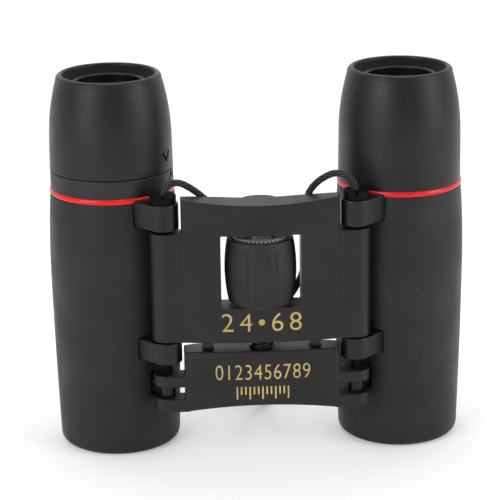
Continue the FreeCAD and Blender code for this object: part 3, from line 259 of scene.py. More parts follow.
def closed_tube(name, grid, along=None):
    """A piece from a grid of points (station, place round it, xyz), with a cap on each end.
    Its UV map has the share of the way along in U and round in V."""
    rings, around = grid.shape[:2]
    points = np.concatenate([grid.reshape(-1, 3), grid[[0, -1]].mean(axis=1)])
    quads, i, j = ring_faces(rings, around)
    k = np.arange(around)
    foot = np.stack([np.full(around, rings * around), (k + 1) % around, k], 1)
    last = (rings - 1) * around
    head = np.stack([np.full(around, rings * around + 1), last + k, last + (k + 1) % around], 1)
    piece = new_piece(name, points, quads.tolist() + foot.tolist() + head.tolist(), smooth=True)
    share = np.linspace(0, 1, rings) if along is None else along / along[-1]
    u = np.stack([share[i], share[i], share[i + 1], share[i + 1]], -1)
    v = np.stack([j, j + 1, j + 1, j], -1) / around
    ends = np.repeat([[0.0, 0.0], [1.0, 0.0]], 3 * around, axis=0)
    flat = np.concatenate([np.stack([u, v], -1).reshape(-1, 2), ends])
    piece.data.uv_layers.new(name="UVMap").data.foreach_set("uv", flat.ravel())
    piece.data.update()
    return piece


print("surface helpers ready")

# %% [markdown]
# ## The braid
# A curve could be given a round section and left at that, but a plain round section looks like
# wire. The cord is a braid: two sets of strands wind round it in opposite directions and pass over
# and under each other, so its skin is covered with small crests that lie like the squares of a
# draughts board. The NURBS line is therefore only the guide. The skin is a grid of points round
# it, whose radius rises and falls in both directions, and the same grid carries a UV map on which
# the finish can draw the threads.

# %% Lay the cord
FLOAT_LENGTH = 0.0016            # from crest to crest along the braid
STRANDS = 6                      # crests round it
RING_SPACING = 0.0003            # from one ring of points to the next


def braid_grid(stations, along, radius, around=24, rise=0.045):
    """Rings of points round the stations, a the angle and s the way along:
    r = R (1 - rise + rise cos(strands a) cos(2 pi s / float length))."""
    normal, other = crossing_frames(stations)
    angle = 2 * np.pi * np.arange(around) / around
    crests = np.cos(STRANDS * angle)[None, :] * np.cos(2 * np.pi * along / FLOAT_LENGTH)[:, None]
    reach = radius * (1 - rise + rise * crests)
    way = (np.cos(angle)[None, :, None] * normal[:, None, :]
           + np.sin(angle)[None, :, None] * other[:, None, :])
    return stations[:, None, :] + reach[:, :, None] * way


cord_route, cord_along = even_stations(smooth_route(cord_points), RING_SPACING)
neck_cord = closed_tube("neck_cord", braid_grid(cord_route, cord_along, CORD_R), cord_along)
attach(neck_cord, "bridge")
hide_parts("left_strap_cord", "right_strap_cord", "strap_coil")
print("neck cord:", len(cord_route), "rings, length", round(cord_along[-1], 4), "m")

# %% [markdown]
# ## How a finish is built
# A finish is a material made of nodes. Writing every node by hand hides what is being said, so
# one helper makes a node and sets its sockets, and short ones stand for the steps that come again
# and again. A group, with named inputs and outputs, is an effect that many finishes share, such as
# grain or edge wear: it is built once and placed in each of them with its own values.

# %% Node helpers
def set_sockets(tree, made, sockets):
    """Give a node's inputs numbers, colours or the outputs of other nodes."""
    for key, value in sockets.items():
        if isinstance(value, bpy.types.NodeSocket):
            tree.links.new(value, made.inputs[key])
        else:
            made.inputs[key].default_value = value


def node(tree, kind, sockets=None, **settings):
    """Add a node with its settings and inputs."""
    made = tree.nodes.new(kind)
    for key, value in settings.items():
        setattr(made, key, value)
    set_sockets(tree, made, sockets or {})
    return made


def object_place(tree):
    """The place on the piece, which stays with it when it moves."""
    return node(tree, "ShaderNodeTexCoord").outputs["Object"]


def mix(tree, factor, first, second):
    """Blend two colours; returns the blend."""
    return node(tree, "ShaderNodeMix", {"Factor": factor, "A": first, "B": second},
                data_type="RGBA").outputs["Result"]


def math_node(tree, operation, first, second=0.0, clamp=False):
    """One step of arithmetic; returns its output."""
    return node(tree, "ShaderNodeMath", {0: first, 1: second}, operation=operation,
                use_clamp=clamp).outputs[0]


def times(tree, first, second):
    """The product of two values."""
    return math_node(tree, "MULTIPLY", first, second)


def remap(tree, value, low, high, to_low=0.0, to_high=1.0):
    """Carry low..high over to to_low..to_high, smoothly and without overshoot."""
    made = node(tree, "ShaderNodeMapRange", {"Value": value, "From Min": low, "From Max": high,
                                             "To Min": to_low, "To Max": to_high},
                interpolation_type="SMOOTHSTEP")
    return made.outputs["Result"]


def new_group(name, inputs, outputs):
    """A shader node group with float inputs (name: default) and named outputs."""
    tree = bpy.data.node_groups.new(name, "ShaderNodeTree")
    for label, default in inputs.items():
        socket = tree.interface.new_socket(label, in_out="INPUT", socket_type="NodeSocketFloat")
        socket.default_value = default
    for label, kind in outputs.items():
        tree.interface.new_socket(label, in_out="OUTPUT", socket_type=kind)
    return tree, tree.nodes.new("NodeGroupInput").outputs, tree.nodes.new("NodeGroupOutput").inputs


def place_group(tree, group, **values):
    """Put a group in a material with its own values; returns its outputs."""
    made = tree.nodes.new("ShaderNodeGroup")
    made.node_tree = group
    for key, value in values.items():
        made.inputs[key.replace("_", " ")].default_value = value
    return made.outputs


def new_material(name):
    """A material made of nodes; returns it, its tree and its shader."""
    material = bpy.data.materials.new(name)
    material.use_nodes = True
    return material, material.node_tree, material.node_tree.nodes["Principled BSDF"]


print("node helpers ready")

# %% [markdown]
# ## Stage and light
# A studio shot on white needs three things: a floor that comes out white but still takes the
# object's shadow, soft light from all sides, and something for the black parts to reflect. A
# black surface shows mostly its reflections, so the two large soft lamps, left and right in front
# of the object, are what draws its form. They could be strong and the floor darker, but then every
# colour would be wrong: here a colour renders about as it is written. The camera and refracted
# rays see a plain white world. Light and mirrored rays see it fade from white behind the object to
# a dim grey behind the camera, as a real studio does.

# %% Stage
floor = new_piece("floor", [(-4, -4, 0), (4, -4, 0), (4, 4, 0), (-4, 4, 0)], [(0, 1, 2, 3)])
MIDDLE = Vector((0.0, 0.0, 0.045))      # of the object, which every lamp faces


def soft_lamp(name, place, size, power):
    """A rectangular area lamp at place."""
    light = bpy.data.lights.new(name, "AREA")
    light.shape = "RECTANGLE"
    light.size, light.size_y = size
    light.energy = power
    facing = (MIDDLE - Vector(place)).to_track_quat("-Z", "Y").to_matrix().to_4x4()
    linked(name, light).matrix_world = Matrix.Translation(Vector(place)) @ facing


soft_lamp("left_lamp", (-0.62, -0.62, 0.42), (0.55, 0.75), 4.6)
soft_lamp("right_lamp", (0.80, -0.38, 0.40), (0.50, 0.75), 4.2)
soft_lamp("top_lamp", (0.0, 0.25, 1.0), (0.9, 0.9), 4.6)

world = bpy.data.worlds.new("studio")
bpy.context.scene.world = world
world.use_nodes = True
air = world.node_tree
rays = node(air, "ShaderNodeLightPath").outputs
seen = math_node(air, "MAXIMUM", rays["Is Camera Ray"], rays["Is Transmission Ray"])
toward = node(air, "ShaderNodeSeparateXYZ",
              {0: node(air, "ShaderNodeTexCoord").outputs["Generated"]}).outputs
room = node(air, "ShaderNodeMapRange", {"Value": toward["Y"], "From Min": -1.0, "To Min": 0.32,
                                        "To Max": 1.0}).outputs["Result"]
set_sockets(air, air.nodes["Background"],
            {"Color": (1, 1, 1, 1), "Strength": math_node(air, "MAXIMUM", seen, room)})
bpy.context.scene.view_settings.view_transform = "Standard"
print("stage: floor, three lamps, pale world")

# %% [markdown]
# ## Effects shared by the finishes
# *Grain* is the fine pebbling of soft-touch rubber and of paint: noise in Object coordinates, so
# that it stays on the part when the part moves. *Handling* is the unevenness that use leaves:
# broad soft patches, a little shinier where fingers rub, and specks of dust. *Edges* are found
# by comparing the true normal with one softened over a short distance; they differ only near an
# edge. The lighter colour laid there is partly wear and partly a painted highlight along the
# edges. It is broken up with noise, since real paint chips in spots. *Bore* finds the part of a
# cup within its mouth: all points nearer than a given radius to a barrel's axis, where the wall
# gets painted shade. The barrels are mirror images, so the distance is taken from the size of X
# alone. Painting these by hand would look as good, but a rule in nodes fits every part at once
# and exports with it.

# %% Grain, handling, edges (wear and painted highlight) and the cups' painted shade
def build_grain():
    """Height of fine pebbles: two sizes of noise, the larger at the given scale."""
    tree, given, give = new_group("grain", {"Scale": 2500.0}, {"Height": "NodeSocketFloat"})
    place = object_place(tree)
    coarse = node(tree, "ShaderNodeTexNoise", {"Vector": place, "Scale": given["Scale"],
                                               "Detail": 2.0, "Roughness": 0.6})
    finer = times(tree, given["Scale"], 2.7)
    fine = node(tree, "ShaderNodeTexVoronoi", {"Vector": place, "Scale": finer})
    pebbles = times(tree, fine.outputs["Distance"], 0.45)
    total = math_node(tree, "SUBTRACT", coarse.outputs["Fac"], pebbles)
    tree.links.new(total, give["Height"])
    return tree


def build_handling():
    """Two masks, 0 to 1: broad patches, and scattered specks of dust, round dots whose radius is a
    share of the distance between them."""
    tree, given, give = new_group("handling",
                                  {"Patch Scale": 90.0, "Dust Scale": 900.0, "Speck": 0.16},
                                  {"Patches": "NodeSocketFloat", "Dust": "NodeSocketFloat"})
    place = object_place(tree)
    patch = node(tree, "ShaderNodeTexNoise", {"Vector": place, "Scale": given["Patch Scale"],
                                              "Detail": 3.0, "Distortion": 0.6})
    tree.links.new(remap(tree, patch.outputs["Fac"], 0.35, 0.68), give["Patches"])
    speck = node(tree, "ShaderNodeTexVoronoi", {"Vector": place, "Scale": given["Dust Scale"]})
    core = times(tree, given["Speck"], 0.3)
    tree.links.new(remap(tree, speck.outputs["Distance"], given["Speck"], core), give["Dust"])
    return tree


def build_edge_wear_and_highlight():
    """Mask near the edges, where the colour shows wear and a painted highlight, and the normal
    softened over the given radius in metres.
    """
    tree, given, give = new_group("edge wear and highlight", {"Radius": 0.0003, "Amount": 1.0, "Chips": 700.0},
                                  {"Edge": "NodeSocketFloat", "Normal": "NodeSocketVector"})
    soft = node(tree, "ShaderNodeBevel", {"Radius": given["Radius"]}, samples=6)
    plain = node(tree, "ShaderNodeNewGeometry").outputs["Normal"]
    alike = node(tree, "ShaderNodeVectorMath", {0: soft.outputs["Normal"], 1: plain},
                 operation="DOT_PRODUCT").outputs["Value"]
    chips = node(tree, "ShaderNodeTexNoise", {"Vector": object_place(tree),
                                              "Scale": given["Chips"], "Detail": 2.0})
    near = remap(tree, alike, 0.97, 0.80)
    broken = times(tree, near, remap(tree, chips.outputs["Fac"], 0.40, 0.62))
    tree.links.new(math_node(tree, "MULTIPLY", broken, given["Amount"], clamp=True), give["Edge"])
    tree.links.new(soft.outputs["Normal"], give["Normal"])
    return tree


def build_cup_shade():
    """Mask of a cup's painted shade: 1 where sqrt((|x| - X)^2 + (y - Y)^2) is under the radius,
    and 0 outside.
    """
    tree, given, give = new_group("bore", {"Axis X": 0.03, "Axis Y": 0.0, "Radius": 0.01},
                                  {"Inside": "NodeSocketFloat"})
    place = node(tree, "ShaderNodeSeparateXYZ", {"Vector": object_place(tree)}).outputs
    across = math_node(tree, "SUBTRACT", math_node(tree, "ABSOLUTE", place["X"]), given["Axis X"])
    behind = math_node(tree, "SUBTRACT", place["Y"], given["Axis Y"])
    square = math_node(tree, "ADD", times(tree, across, across), times(tree, behind, behind))
    beyond = math_node(tree, "SUBTRACT", math_node(tree, "SQRT", square), given["Radius"])
    tree.links.new(remap(tree, beyond, 0.1 * MM, -0.2 * MM), give["Inside"])
    return tree


grain = build_grain()
handling = build_handling()
edge_wear_and_highlight = build_edge_wear_and_highlight()
bore = build_cup_shade()
print("groups:", [group.name for group in bpy.data.node_groups])

# %% [markdown]
# ## One recipe for coated and moulded parts
# Rubber, paint and moulded plastic share a build: a dark base whose colour shifts a little in
# patches, specks of dust, edges that are lighter or bare, partly from wear and partly as a painted
# highlight, a roughness that varies, and grain in the normal. The cups' walls within their mouths
# are painted shade: a deep dull black.
# What tells the finishes apart is the numbers. They could be a dozen materials built by hand, but
# one function is easier to tune, and each finish below is one call, under the name of its slot.

# %% Coated finish
DUST_GREY = (0.35, 0.35, 0.35, 1.0)
# Colour of the painted shade on the cups' walls within their mouths.
PAINTED_SHADE_BLACK = (0.001, 0.001, 0.001, 1.0)


def coated(name, colour, roughness, worn_lit_edge_colour, edge=0.5, radius=0.0003, grain_scale=2500.0,
           grain_depth=0.00002, patches=0.15, specular=0.5, metallic=0.0, coat=0.0, sheen=0.0,
           dust=0.0, shade_bore=None):
    """Base colour and roughness that shift in patches, dust, edges lighter from wear and from a
    painted highlight, and grain. Within a bore, given as (axis x, axis y, radius), the colour goes
    down to a deep black as painted shade."""
    material, tree, shader = new_material(name)
    marks = place_group(tree, handling, Dust_Scale=330.0, Speck=0.045)
    worn_lit_edges = place_group(tree, edge_wear_and_highlight, Radius=radius, Amount=edge)
    pebbles = place_group(tree, grain, Scale=grain_scale)
    darker = [channel * (1 - patches) for channel in colour] + [1.0]
    lighter = [channel * (1 + patches) for channel in colour] + [1.0]
    body = mix(tree, marks["Patches"], darker, lighter)
    toned = mix(tree, times(tree, marks["Dust"], dust), body, DUST_GREY)
    # Edges take the lighter colour: partly wear, partly a painted highlight along the edges.
    whole = mix(tree, worn_lit_edges["Edge"], toned, (*worn_lit_edge_colour, 1.0))
    rough = remap(tree, marks["Patches"], 0.0, 1.0, roughness * 1.08, roughness * 0.92)
    # Painted shade: within the bore the colour goes down to a deep black.
    if shade_bore:
        cup_shade = place_group(tree, bore, Axis_X=shade_bore[0], Axis_Y=shade_bore[1], Radius=shade_bore[2])
        whole = mix(tree, cup_shade["Inside"], whole, PAINTED_SHADE_BLACK)
        rough = math_node(tree, "MAXIMUM", rough, times(tree, cup_shade["Inside"], 0.9))
    bump = node(tree, "ShaderNodeBump", {"Height": pebbles["Height"], "Distance": grain_depth,
                                         "Strength": 1.0, "Normal": worn_lit_edges["Normal"]})
    set_sockets(tree, shader, {
        "Base Color": whole, "Roughness": rough, "Normal": bump.outputs["Normal"],
        "Specular IOR Level": specular, "Metallic": metallic, "Coat Weight": coat,
        "Coat Roughness": 0.12, "Sheen Weight": sheen, "Sheen Roughness": 0.4})
    return material


MOUTH_R = 11.15 * MM      # inside of a cup's rounded rim
cup_shade_bore = (*upright_axis("right_eyecup"), MOUTH_R)
# Each edge colour below is partly wear and partly a painted highlight along the edges.
finishes = {
    "armour": coated("armour_rubber", (0.012, 0.012, 0.0119), 0.50, (0.05, 0.05, 0.05),
                     edge=0.3, grain_scale=4200.0, specular=0.28, sheen=0.03, dust=0.6),
    # The cups' walls within their mouths get painted shade.
    "eyecup_rubber": coated("eyecup_rubber", (0.0095, 0.0095, 0.0096), 0.36, (0.05, 0.05, 0.05),
                            edge=0.4, grain_scale=4200.0, specular=0.28, dust=0.6,
                            shade_bore=cup_shade_bore),
    "barrel_paint": coated("lug_enamel", (0.005, 0.005, 0.0048), 0.36, (0.20, 0.19, 0.18),
                           edge=0.55, radius=0.00025, grain_scale=1500.0, specular=0.32),
    "bridge_paint": coated("plate_enamel", (0.0075, 0.0075, 0.0068), 0.42, (0.24, 0.23, 0.21),
                           edge=0.55, grain_scale=3200.0, specular=0.32, dust=0.3),
    "collar_paint": coated("collar_plastic", (0.010, 0.010, 0.010), 0.42, (0.05, 0.05, 0.05),
                           specular=0.35),
    "wheel_rubber": coated("wheel_rubber", (0.012, 0.012, 0.0115), 0.52, (0.05, 0.05, 0.05),
                           edge=0.3, grain_scale=3800.0, specular=0.32, dust=0.5),
    # The hub's black plastic is made a mid grey: a painted highlight for the gleam on its toothed
    # crown.
    "wheel_plastic": coated("wheel_plastic", (0.11, 0.11, 0.105), 0.25, (0.20, 0.20, 0.19),
                            edge=0.5, radius=0.0002, specular=0.7, coat=0.3),
    # The pins' black is taken down to near black with almost no reflection: painted shade where the
    # lugs shadow them.
    "black_steel": coated("black_steel_painted_shade", (0.002, 0.002, 0.002), 0.5, (0.05, 0.05, 0.05),
                          edge=0.4, radius=0.0002, specular=0.08),
    # The pale edge colour here paints highlight arcs on the ocular rings' edges.
    "inner_black": coated("black_anodising", (0.003, 0.003, 0.003), 0.32, (0.09, 0.09, 0.09),
                          edge=0.7, radius=0.0002, specular=0.3),
    "cage_plastic": coated("cage_plastic", (0.003, 0.003, 0.003), 0.7, (0.003, 0.003, 0.003),
                           edge=0.0, specular=0.1),
    "washer_plastic": coated("washer_plastic", (0.70, 0.69, 0.64), 0.45, (0.80, 0.79, 0.74),
                             edge=0.3, patches=0.05),
    "gold_print": coated("gold_foil", (0.52, 0.38, 0.14), 0.46, (0.66, 0.52, 0.27), edge=0.2,
                         radius=0.00003, grain_scale=6000.0, grain_depth=0.00005, patches=0.22,
                         metallic=0.35),
}
print("coated finishes:", sorted(finishes))

# %% [markdown]
# ## Metal that shows
# The tongues, the screw, the springs and the nut are bare metal. Turned and drawn metal keeps fine
# lines of the tool, which run round a turned part and along a drawn one. Stretching noise in one
# direction draws such lines. An image of brushed metal would do the same, but would not fit the
# part's size.

# %% Metal finish
def lined_metal(name, colour, roughness, stretch, scale=1800.0, oil=0.0):
    """Metal with fine tool lines: noise squeezed along the stretch direction."""
    material, tree, shader = new_material(name)
    squeezed = node(tree, "ShaderNodeMapping", {"Vector": object_place(tree), "Scale": stretch})
    lines = node(tree, "ShaderNodeTexNoise", {"Vector": squeezed.outputs["Vector"],
                                              "Scale": scale, "Detail": 4.0})
    marks = place_group(tree, handling, Patch_Scale=160.0)
    worn_lit_edges = place_group(tree, edge_wear_and_highlight, Radius=0.0002, Amount=0.4)
    dark = [channel * 0.72 for channel in colour] + [1.0]
    oiled = [channel * 0.45 for channel in colour] + [1.0]
    body = mix(tree, lines.outputs["Fac"], dark, (*colour, 1.0))
    stained = mix(tree, times(tree, marks["Patches"], oil), body, oiled)
    bump = node(tree, "ShaderNodeBump", {"Height": lines.outputs["Fac"], "Distance": 0.000008,
                                         "Strength": 1.0, "Normal": worn_lit_edges["Normal"]})
    rough = remap(tree, lines.outputs["Fac"], 0.3, 0.7, roughness * 0.8, roughness * 1.25)
    set_sockets(tree, shader, {"Base Color": stained, "Roughness": rough,
                               "Normal": bump.outputs["Normal"], "Metallic": 1.0})
    return material


finishes["tongue_steel"] = lined_metal("drawn_steel", (0.05, 0.05, 0.05), 0.38, (1, 1, 0.05))
finishes["screw_steel"] = lined_metal("turned_steel", (0.07, 0.07, 0.068), 0.34, (0.1, 0.1, 1),
                                      oil=0.6)
finishes["spring_steel"] = lined_metal("spring_steel", (0.58, 0.58, 0.60), 0.25, (1, 0.05, 1))
finishes["nut_steel"] = lined_metal("turned_black_steel", (0.05, 0.05, 0.05), 0.34, (0.1, 0.1, 1),
                                    oil=0.3)
print("finishes so far:", len(finishes))

# %% [markdown]
# ## The red rings
# They are glossy plastic with a deep, slightly see-through red. Mixing two reds in soft patches
# stands for the depth of the colour, a coat gives the wet highlight, and a faint lighter line on
# the crown is left to the light itself.

# %% Red ring finish
def glossy_red():
    """Two reds in soft patches under a clear coat."""
    material, tree, shader = new_material("ring_red")
    marks = place_group(tree, handling, Patch_Scale=220.0, Dust_Scale=1500.0)
    set_sockets(tree, shader, {
        "Base Color": mix(tree, marks["Patches"], (0.56, 0.004, 0.006, 1), (0.66, 0.006, 0.007, 1)),
        "Roughness": remap(tree, marks["Dust"], 0.0, 1.0, 0.28, 0.42),
        "Specular IOR Level": 0.3, "Coat Weight": 0.2, "Coat Roughness": 0.08})
    return material


finishes["red_trim"] = glossy_red()
print("red ring finish added")

# %% [markdown]
# ## Glass
# A lens is clear glass, and its coating is a film thinner than a hair's hundredth part that
# tints what it mirrors. The Principled shader has a thin film built in: its thickness in
# nanometres picks the tint. Dust makes the surface a little rougher in specks.

# %% Glass finishes
def coated_glass(name, tint, film):
    """Clear glass under a thin film, film in nanometres, with specks of dust in its roughness."""
    material, tree, shader = new_material(name)
    marks = place_group(tree, handling, Dust_Scale=1300.0)
    deeper = [channel * 0.96 for channel in tint] + [1.0]
    set_sockets(tree, shader, {
        "Base Color": mix(tree, marks["Patches"], (*tint, 1.0), deeper),
        "Roughness": remap(tree, marks["Dust"], 0.0, 1.0, 0.01, 0.12),
        "Transmission Weight": 1.0, "IOR": 1.52,
        "Thin Film Thickness": film, "Thin Film IOR": 1.38})
    return material


finishes["optical_glass"] = coated_glass("prism_glass", (0.93, 0.96, 0.95), 0.0)
finishes["eye_glass"] = coated_glass("eye_lens_glass", (0.88, 0.93, 0.95), 420.0)
finishes["objective_glass"] = coated_glass("objective_glass", (0.90, 0.88, 0.95), 520.0)
print("glass finishes added")

# %% [markdown]
# ## The cord's thread
# The braid's crests are in its surface already. The finish adds what is finer than they are: the
# single threads, drawn slanting one way on one crest and the other way on the next. The colour is
# lighter on the crests, partly wear and partly a painted highlight, and almost black in the
# hollows between them, which is painted shade.

# %% Cord finish
def braided_cord():
    """Painted highlight on the crests and painted shade in the hollows, by the waves of the
    surface, with slanting threads on top.
    """
    material, tree, shader = new_material("braided_cord")
    flat = node(tree, "ShaderNodeSeparateXYZ",
                {"Vector": node(tree, "ShaderNodeTexCoord").outputs["UV"]}).outputs
    along = times(tree, flat["X"], cord_along[-1] / FLOAT_LENGTH * 2 * math.pi)
    around = times(tree, flat["Y"], STRANDS * 2 * math.pi)
    crest = times(tree, math_node(tree, "COSINE", around), math_node(tree, "COSINE", along))
    slant = math_node(tree, "ADD", times(tree, around, 3.0), times(tree, along, 3.0))
    thread = math_node(tree, "ABSOLUTE", math_node(tree, "SINE", slant))
    marks = place_group(tree, handling, Patch_Scale=700.0)
    # Crests get a light colour, partly wear and partly a painted highlight; the hollows' near black
    # is painted shade.
    height = remap(tree, crest, -0.5, 0.9)
    toned = times(tree, height, remap(tree, marks["Patches"], 0.0, 1.0, 0.45, 1.0))
    bump = node(tree, "ShaderNodeBump", {"Height": thread, "Distance": 0.00004, "Strength": 1.0})
    set_sockets(tree, shader, {
        "Base Color": mix(tree, toned, (0.006, 0.006, 0.006, 1), (0.085, 0.087, 0.090, 1)),
        "Roughness": remap(tree, height, 0.0, 1.0, 0.85, 0.6),
        "Normal": bump.outputs["Normal"], "Specular IOR Level": 0.3})
    return material


finishes["strap_cord"] = braided_cord()
neck_cord.data.materials.append(finishes["strap_cord"])
print("cord finish added")

# %% [markdown]
# ## The focusing screw
# The solid that carries the wheel is a plain rod, because a thread would cost more faces than the
# movement needs. Its screw shows in the gap between the two plates, so here it gets its thread: a
# right-hand one with three starts, a millimetre apart, so that one turn lifts the yoke by three.
# A thread could be swept as a solid and joined to the rod. As a surface it is one formula: the
# radius depends on how far the height is from the nearest crest, and the crest climbs as the
# angle grows.

# %% Focusing screw
def dress(piece, slot, body):
    """Give a new piece its finish, its slot and the body that it rides on."""
    piece.data.materials.append(finishes[slot])
    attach(piece, body)
    return piece


def turned(radius, height, angle, axis):
    """Points of a turned shape: radius is (section, angle), height is (section)."""
    return np.stack([axis[0] + radius * np.cos(angle), axis[1] + radius * np.sin(angle),
                     height[:, None] * np.ones_like(radius)], -1)


def thread_grid(axis, foot, shoulder, top, crest=2.9 * MM, depth=0.5 * MM, slim=1.5 * MM,
                starts=3, pitch=1.0 * MM, bevel=0.4 * MM, around=72):
    """Rings up the screw and its slim upper part. With a the angle and z the height above the foot,
    p = the part of z / pitch - starts a / 2 pi after the point, and
    r = crest - depth (1 - clip(2 |2p - 1| - 0.5, 0, 1)), bevelled at the foot."""
    z = np.arange(foot, shoulder, pitch / 12)
    angle = 2 * np.pi * np.arange(around) / around
    phase = np.mod((z[:, None] - foot) / pitch - starts * angle[None, :] / (2 * np.pi), 1.0)
    crown = np.clip(2 * np.abs(2 * phase - 1) - 0.5, 0.0, 1.0)
    radius = crest - depth * (1 - crown)
    radius = np.minimum(radius, crest - bevel + (z[:, None] - foot))
    ends = np.array([crest, slim, slim])[:, None] * np.ones(around)
    return turned(np.concatenate([radius, ends]), np.concatenate([z, [shoulder, shoulder, top]]),
                  angle, axis)


rod_low, rod_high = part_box("focus_spindle")
rod_axis = upright_axis("focus_spindle")
shoulder_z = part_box("lower_thrust_washer")[0][2]
screw = closed_tube("focusing_screw", thread_grid(rod_axis, rod_low[2], shoulder_z, rod_high[2]))
dress(screw, "screw_steel", "focus_wheel")
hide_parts("focus_spindle")
print("focusing screw:", len(screw.data.polygons), "faces, shoulder at", round(shoulder_z, 4))

# %% [markdown]
# ## The focusing wheel
# The wheel is a rubber grip on a plastic hub. The grip bellies out like a barrel and has shallow
# flutes that fade out before its ends, and a small toothed crown stands up inside its top rim.
# Both are turned shapes, which a lathe modifier could spin from a drawn section. A grid does it in
# one step and lets the radius change round the axis too, which is all that flutes and teeth are.
# The section closes on itself, so the surface is a ring like a tyre's.

# %% Focusing wheel
def closed_ring(name, grid, slot):
    """A piece from a grid of points (place on the section, place round the axis, xyz), closed
    both ways. The section runs anticlockwise when the axis is on its left."""
    faces = ring_faces(*grid.shape[:2], closed=True)[0]
    piece = new_piece(name, grid.reshape(-1, 3), faces.tolist(), smooth=True)
    piece.data.set_sharp_from_angle(angle=math.radians(35))
    return dress(piece, slot, "focus_wheel")


def grip_grid(axis, foot, top, core, belly=8.6 * MM, top_r=7.85 * MM, foot_r=7.7 * MM,
              foot_round=0.6 * MM, top_round=0.4 * MM, flutes=8, depth=0.30 * MM, width=0.5 * MM,
              foot_fade=1.2 * MM, top_fade=1.0 * MM, fade_length=2 * MM, rows=26, around=384):
    """Barrel outline r = belly - k (z - middle)^2 through both rims, rounded at both ends by
    r - R (1 - sqrt(1 - u^2)), with flutes depth exp(-(d / width)^2), d from a flute's middle."""
    share = math.sqrt((belly - foot_r) / (belly - top_r))
    middle_z = foot + (top - foot) * share / (1 + share)
    bend = (belly - foot_r) / (middle_z - foot) ** 2
    ends = 1 - np.cos(np.linspace(0, np.pi / 2, 6))
    between = np.linspace(foot + 1.0 * MM, top - 0.8 * MM, rows)      # clear of the roundings
    z = np.concatenate([foot + foot_round * ends, between, (top - top_round * ends)[::-1]])
    low = np.clip((foot + foot_round - z) / foot_round, 0, 1)
    high = np.clip((z - top + top_round) / top_round, 0, 1)
    outline = (belly - bend * (z - middle_z) ** 2 - foot_round * (1 - np.sqrt(1 - low ** 2))
               - top_round * (1 - np.sqrt(1 - high ** 2)))
    angle = np.linspace(0, 2 * np.pi, around, endpoint=False)
    from_flute = (np.mod(angle * flutes / (2 * np.pi), 1.0) - 0.5) * 2 * np.pi / flutes * belly
    fade = step((z - foot - foot_fade) / fade_length) * step((top - top_fade - z) / fade_length)
    radius = outline[:, None] - depth * fade[:, None] * np.exp(-(from_flute / width) ** 2)[None, :]
    bore = core * np.ones((1, around))
    return turned(np.concatenate([bore, radius, bore]), np.concatenate([[foot], z, [top]]),
                  angle[None, :], axis)


def hub_grid(axis, foot, top, rim_z, core, bore=1.5 * MM, flange=6.9 * MM, flange_height=0.3 * MM,
             crown=6.74 * MM, crown_height=0.55 * MM, crown_width=1.2 * MM, crown_sink=0.05 * MM,
             bevel=0.25 * MM, boss=3.9 * MM, teeth=40, depth=0.6 * MM, opening=0.66):
    """Section of hub, flange, crown and boss; round the crown
    r = R - depth max(0, 1 - d / opening), d from 0 mid-space to 1 mid-tooth."""
    crown_z, under = rim_z + crown_height, rim_z - crown_sink
    section = np.array([(bore, foot), (flange, foot), (flange, foot + flange_height),
                        (core, foot + flange_height), (core, under),
                        (crown, under), (crown, crown_z - bevel),
                        (crown - bevel, crown_z), (crown - crown_width, crown_z),
                        (boss, crown_z), (boss, top), (bore, top)])
    toothed = np.isin(np.arange(len(section)), (5, 6, 7))      # the crown's outer points
    angle = np.linspace(0, 2 * np.pi, teeth * 10, endpoint=False)
    d = np.abs(2 * np.mod(angle * teeth / (2 * np.pi), 1.0) - 1)
    radius = section[:, :1] - toothed[:, None] * depth * np.maximum(0, 1 - d / opening)[None, :]
    return turned(radius, section[:, 1], angle[None, :], axis)


wheel_low, wheel_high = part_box("wheel_hub")
FOOT_RISE = 0.15 * MM                # the rubber's foot over the hub's foot
RIM_DROP = 0.85 * MM                 # the rubber's top under the hub's top
CORE_R = 5.6 * MM                    # where rubber and hub meet
rim_z = wheel_high[2] - RIM_DROP
grip = closed_ring("fluted_grip", grip_grid(rod_axis, wheel_low[2] + FOOT_RISE, rim_z, CORE_R),
                   "wheel_rubber")
hub = closed_ring("toothed_hub", hub_grid(rod_axis, wheel_low[2], wheel_high[2], rim_z, CORE_R),
                  "wheel_plastic")
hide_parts("wheel_grip")
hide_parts("wheel_hub")
print("wheel:", len(grip.data.polygons), "and", len(hub.data.polygons), "faces")

# %% [markdown]
# ## Gold figures
# The two plates carry figures in gold foil. These are plain numbers: four large ones and a dot on
# the bridge, and on the yoke a row from 0 to 9 over a scale of strokes. They could be drawn in the
# material, but foil stands a little proud and has an edge that catches the light, so they are thin
# raised shapes. The font gives each figure's outline. Its points are then laid on the plate's
# crowned face, which falls away from the middle as x squared over twice the radius of the crown.

# %% Figures on the plates
FOIL_SINK = 0.02 * MM
FOIL_RISE = 0.05 * MM
PLATE_HALF_WIDTH = 18.75 * MM
DIGIT_HEIGHT = 0.69                  # of the font's figures, in its own units
THINNING = -0.008                    # how far each outline is drawn in


def crown_face(node_name, half_width, bulge):
    """Height of a plate's crowned face over x: y = front + x^2 / (2 R), R from its sagitta."""
    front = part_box(node_name)[0][1]
    crown_r = (half_width ** 2 + bulge ** 2) / (2 * bulge)
    return lambda x: front + x ** 2 / (2 * crown_r)


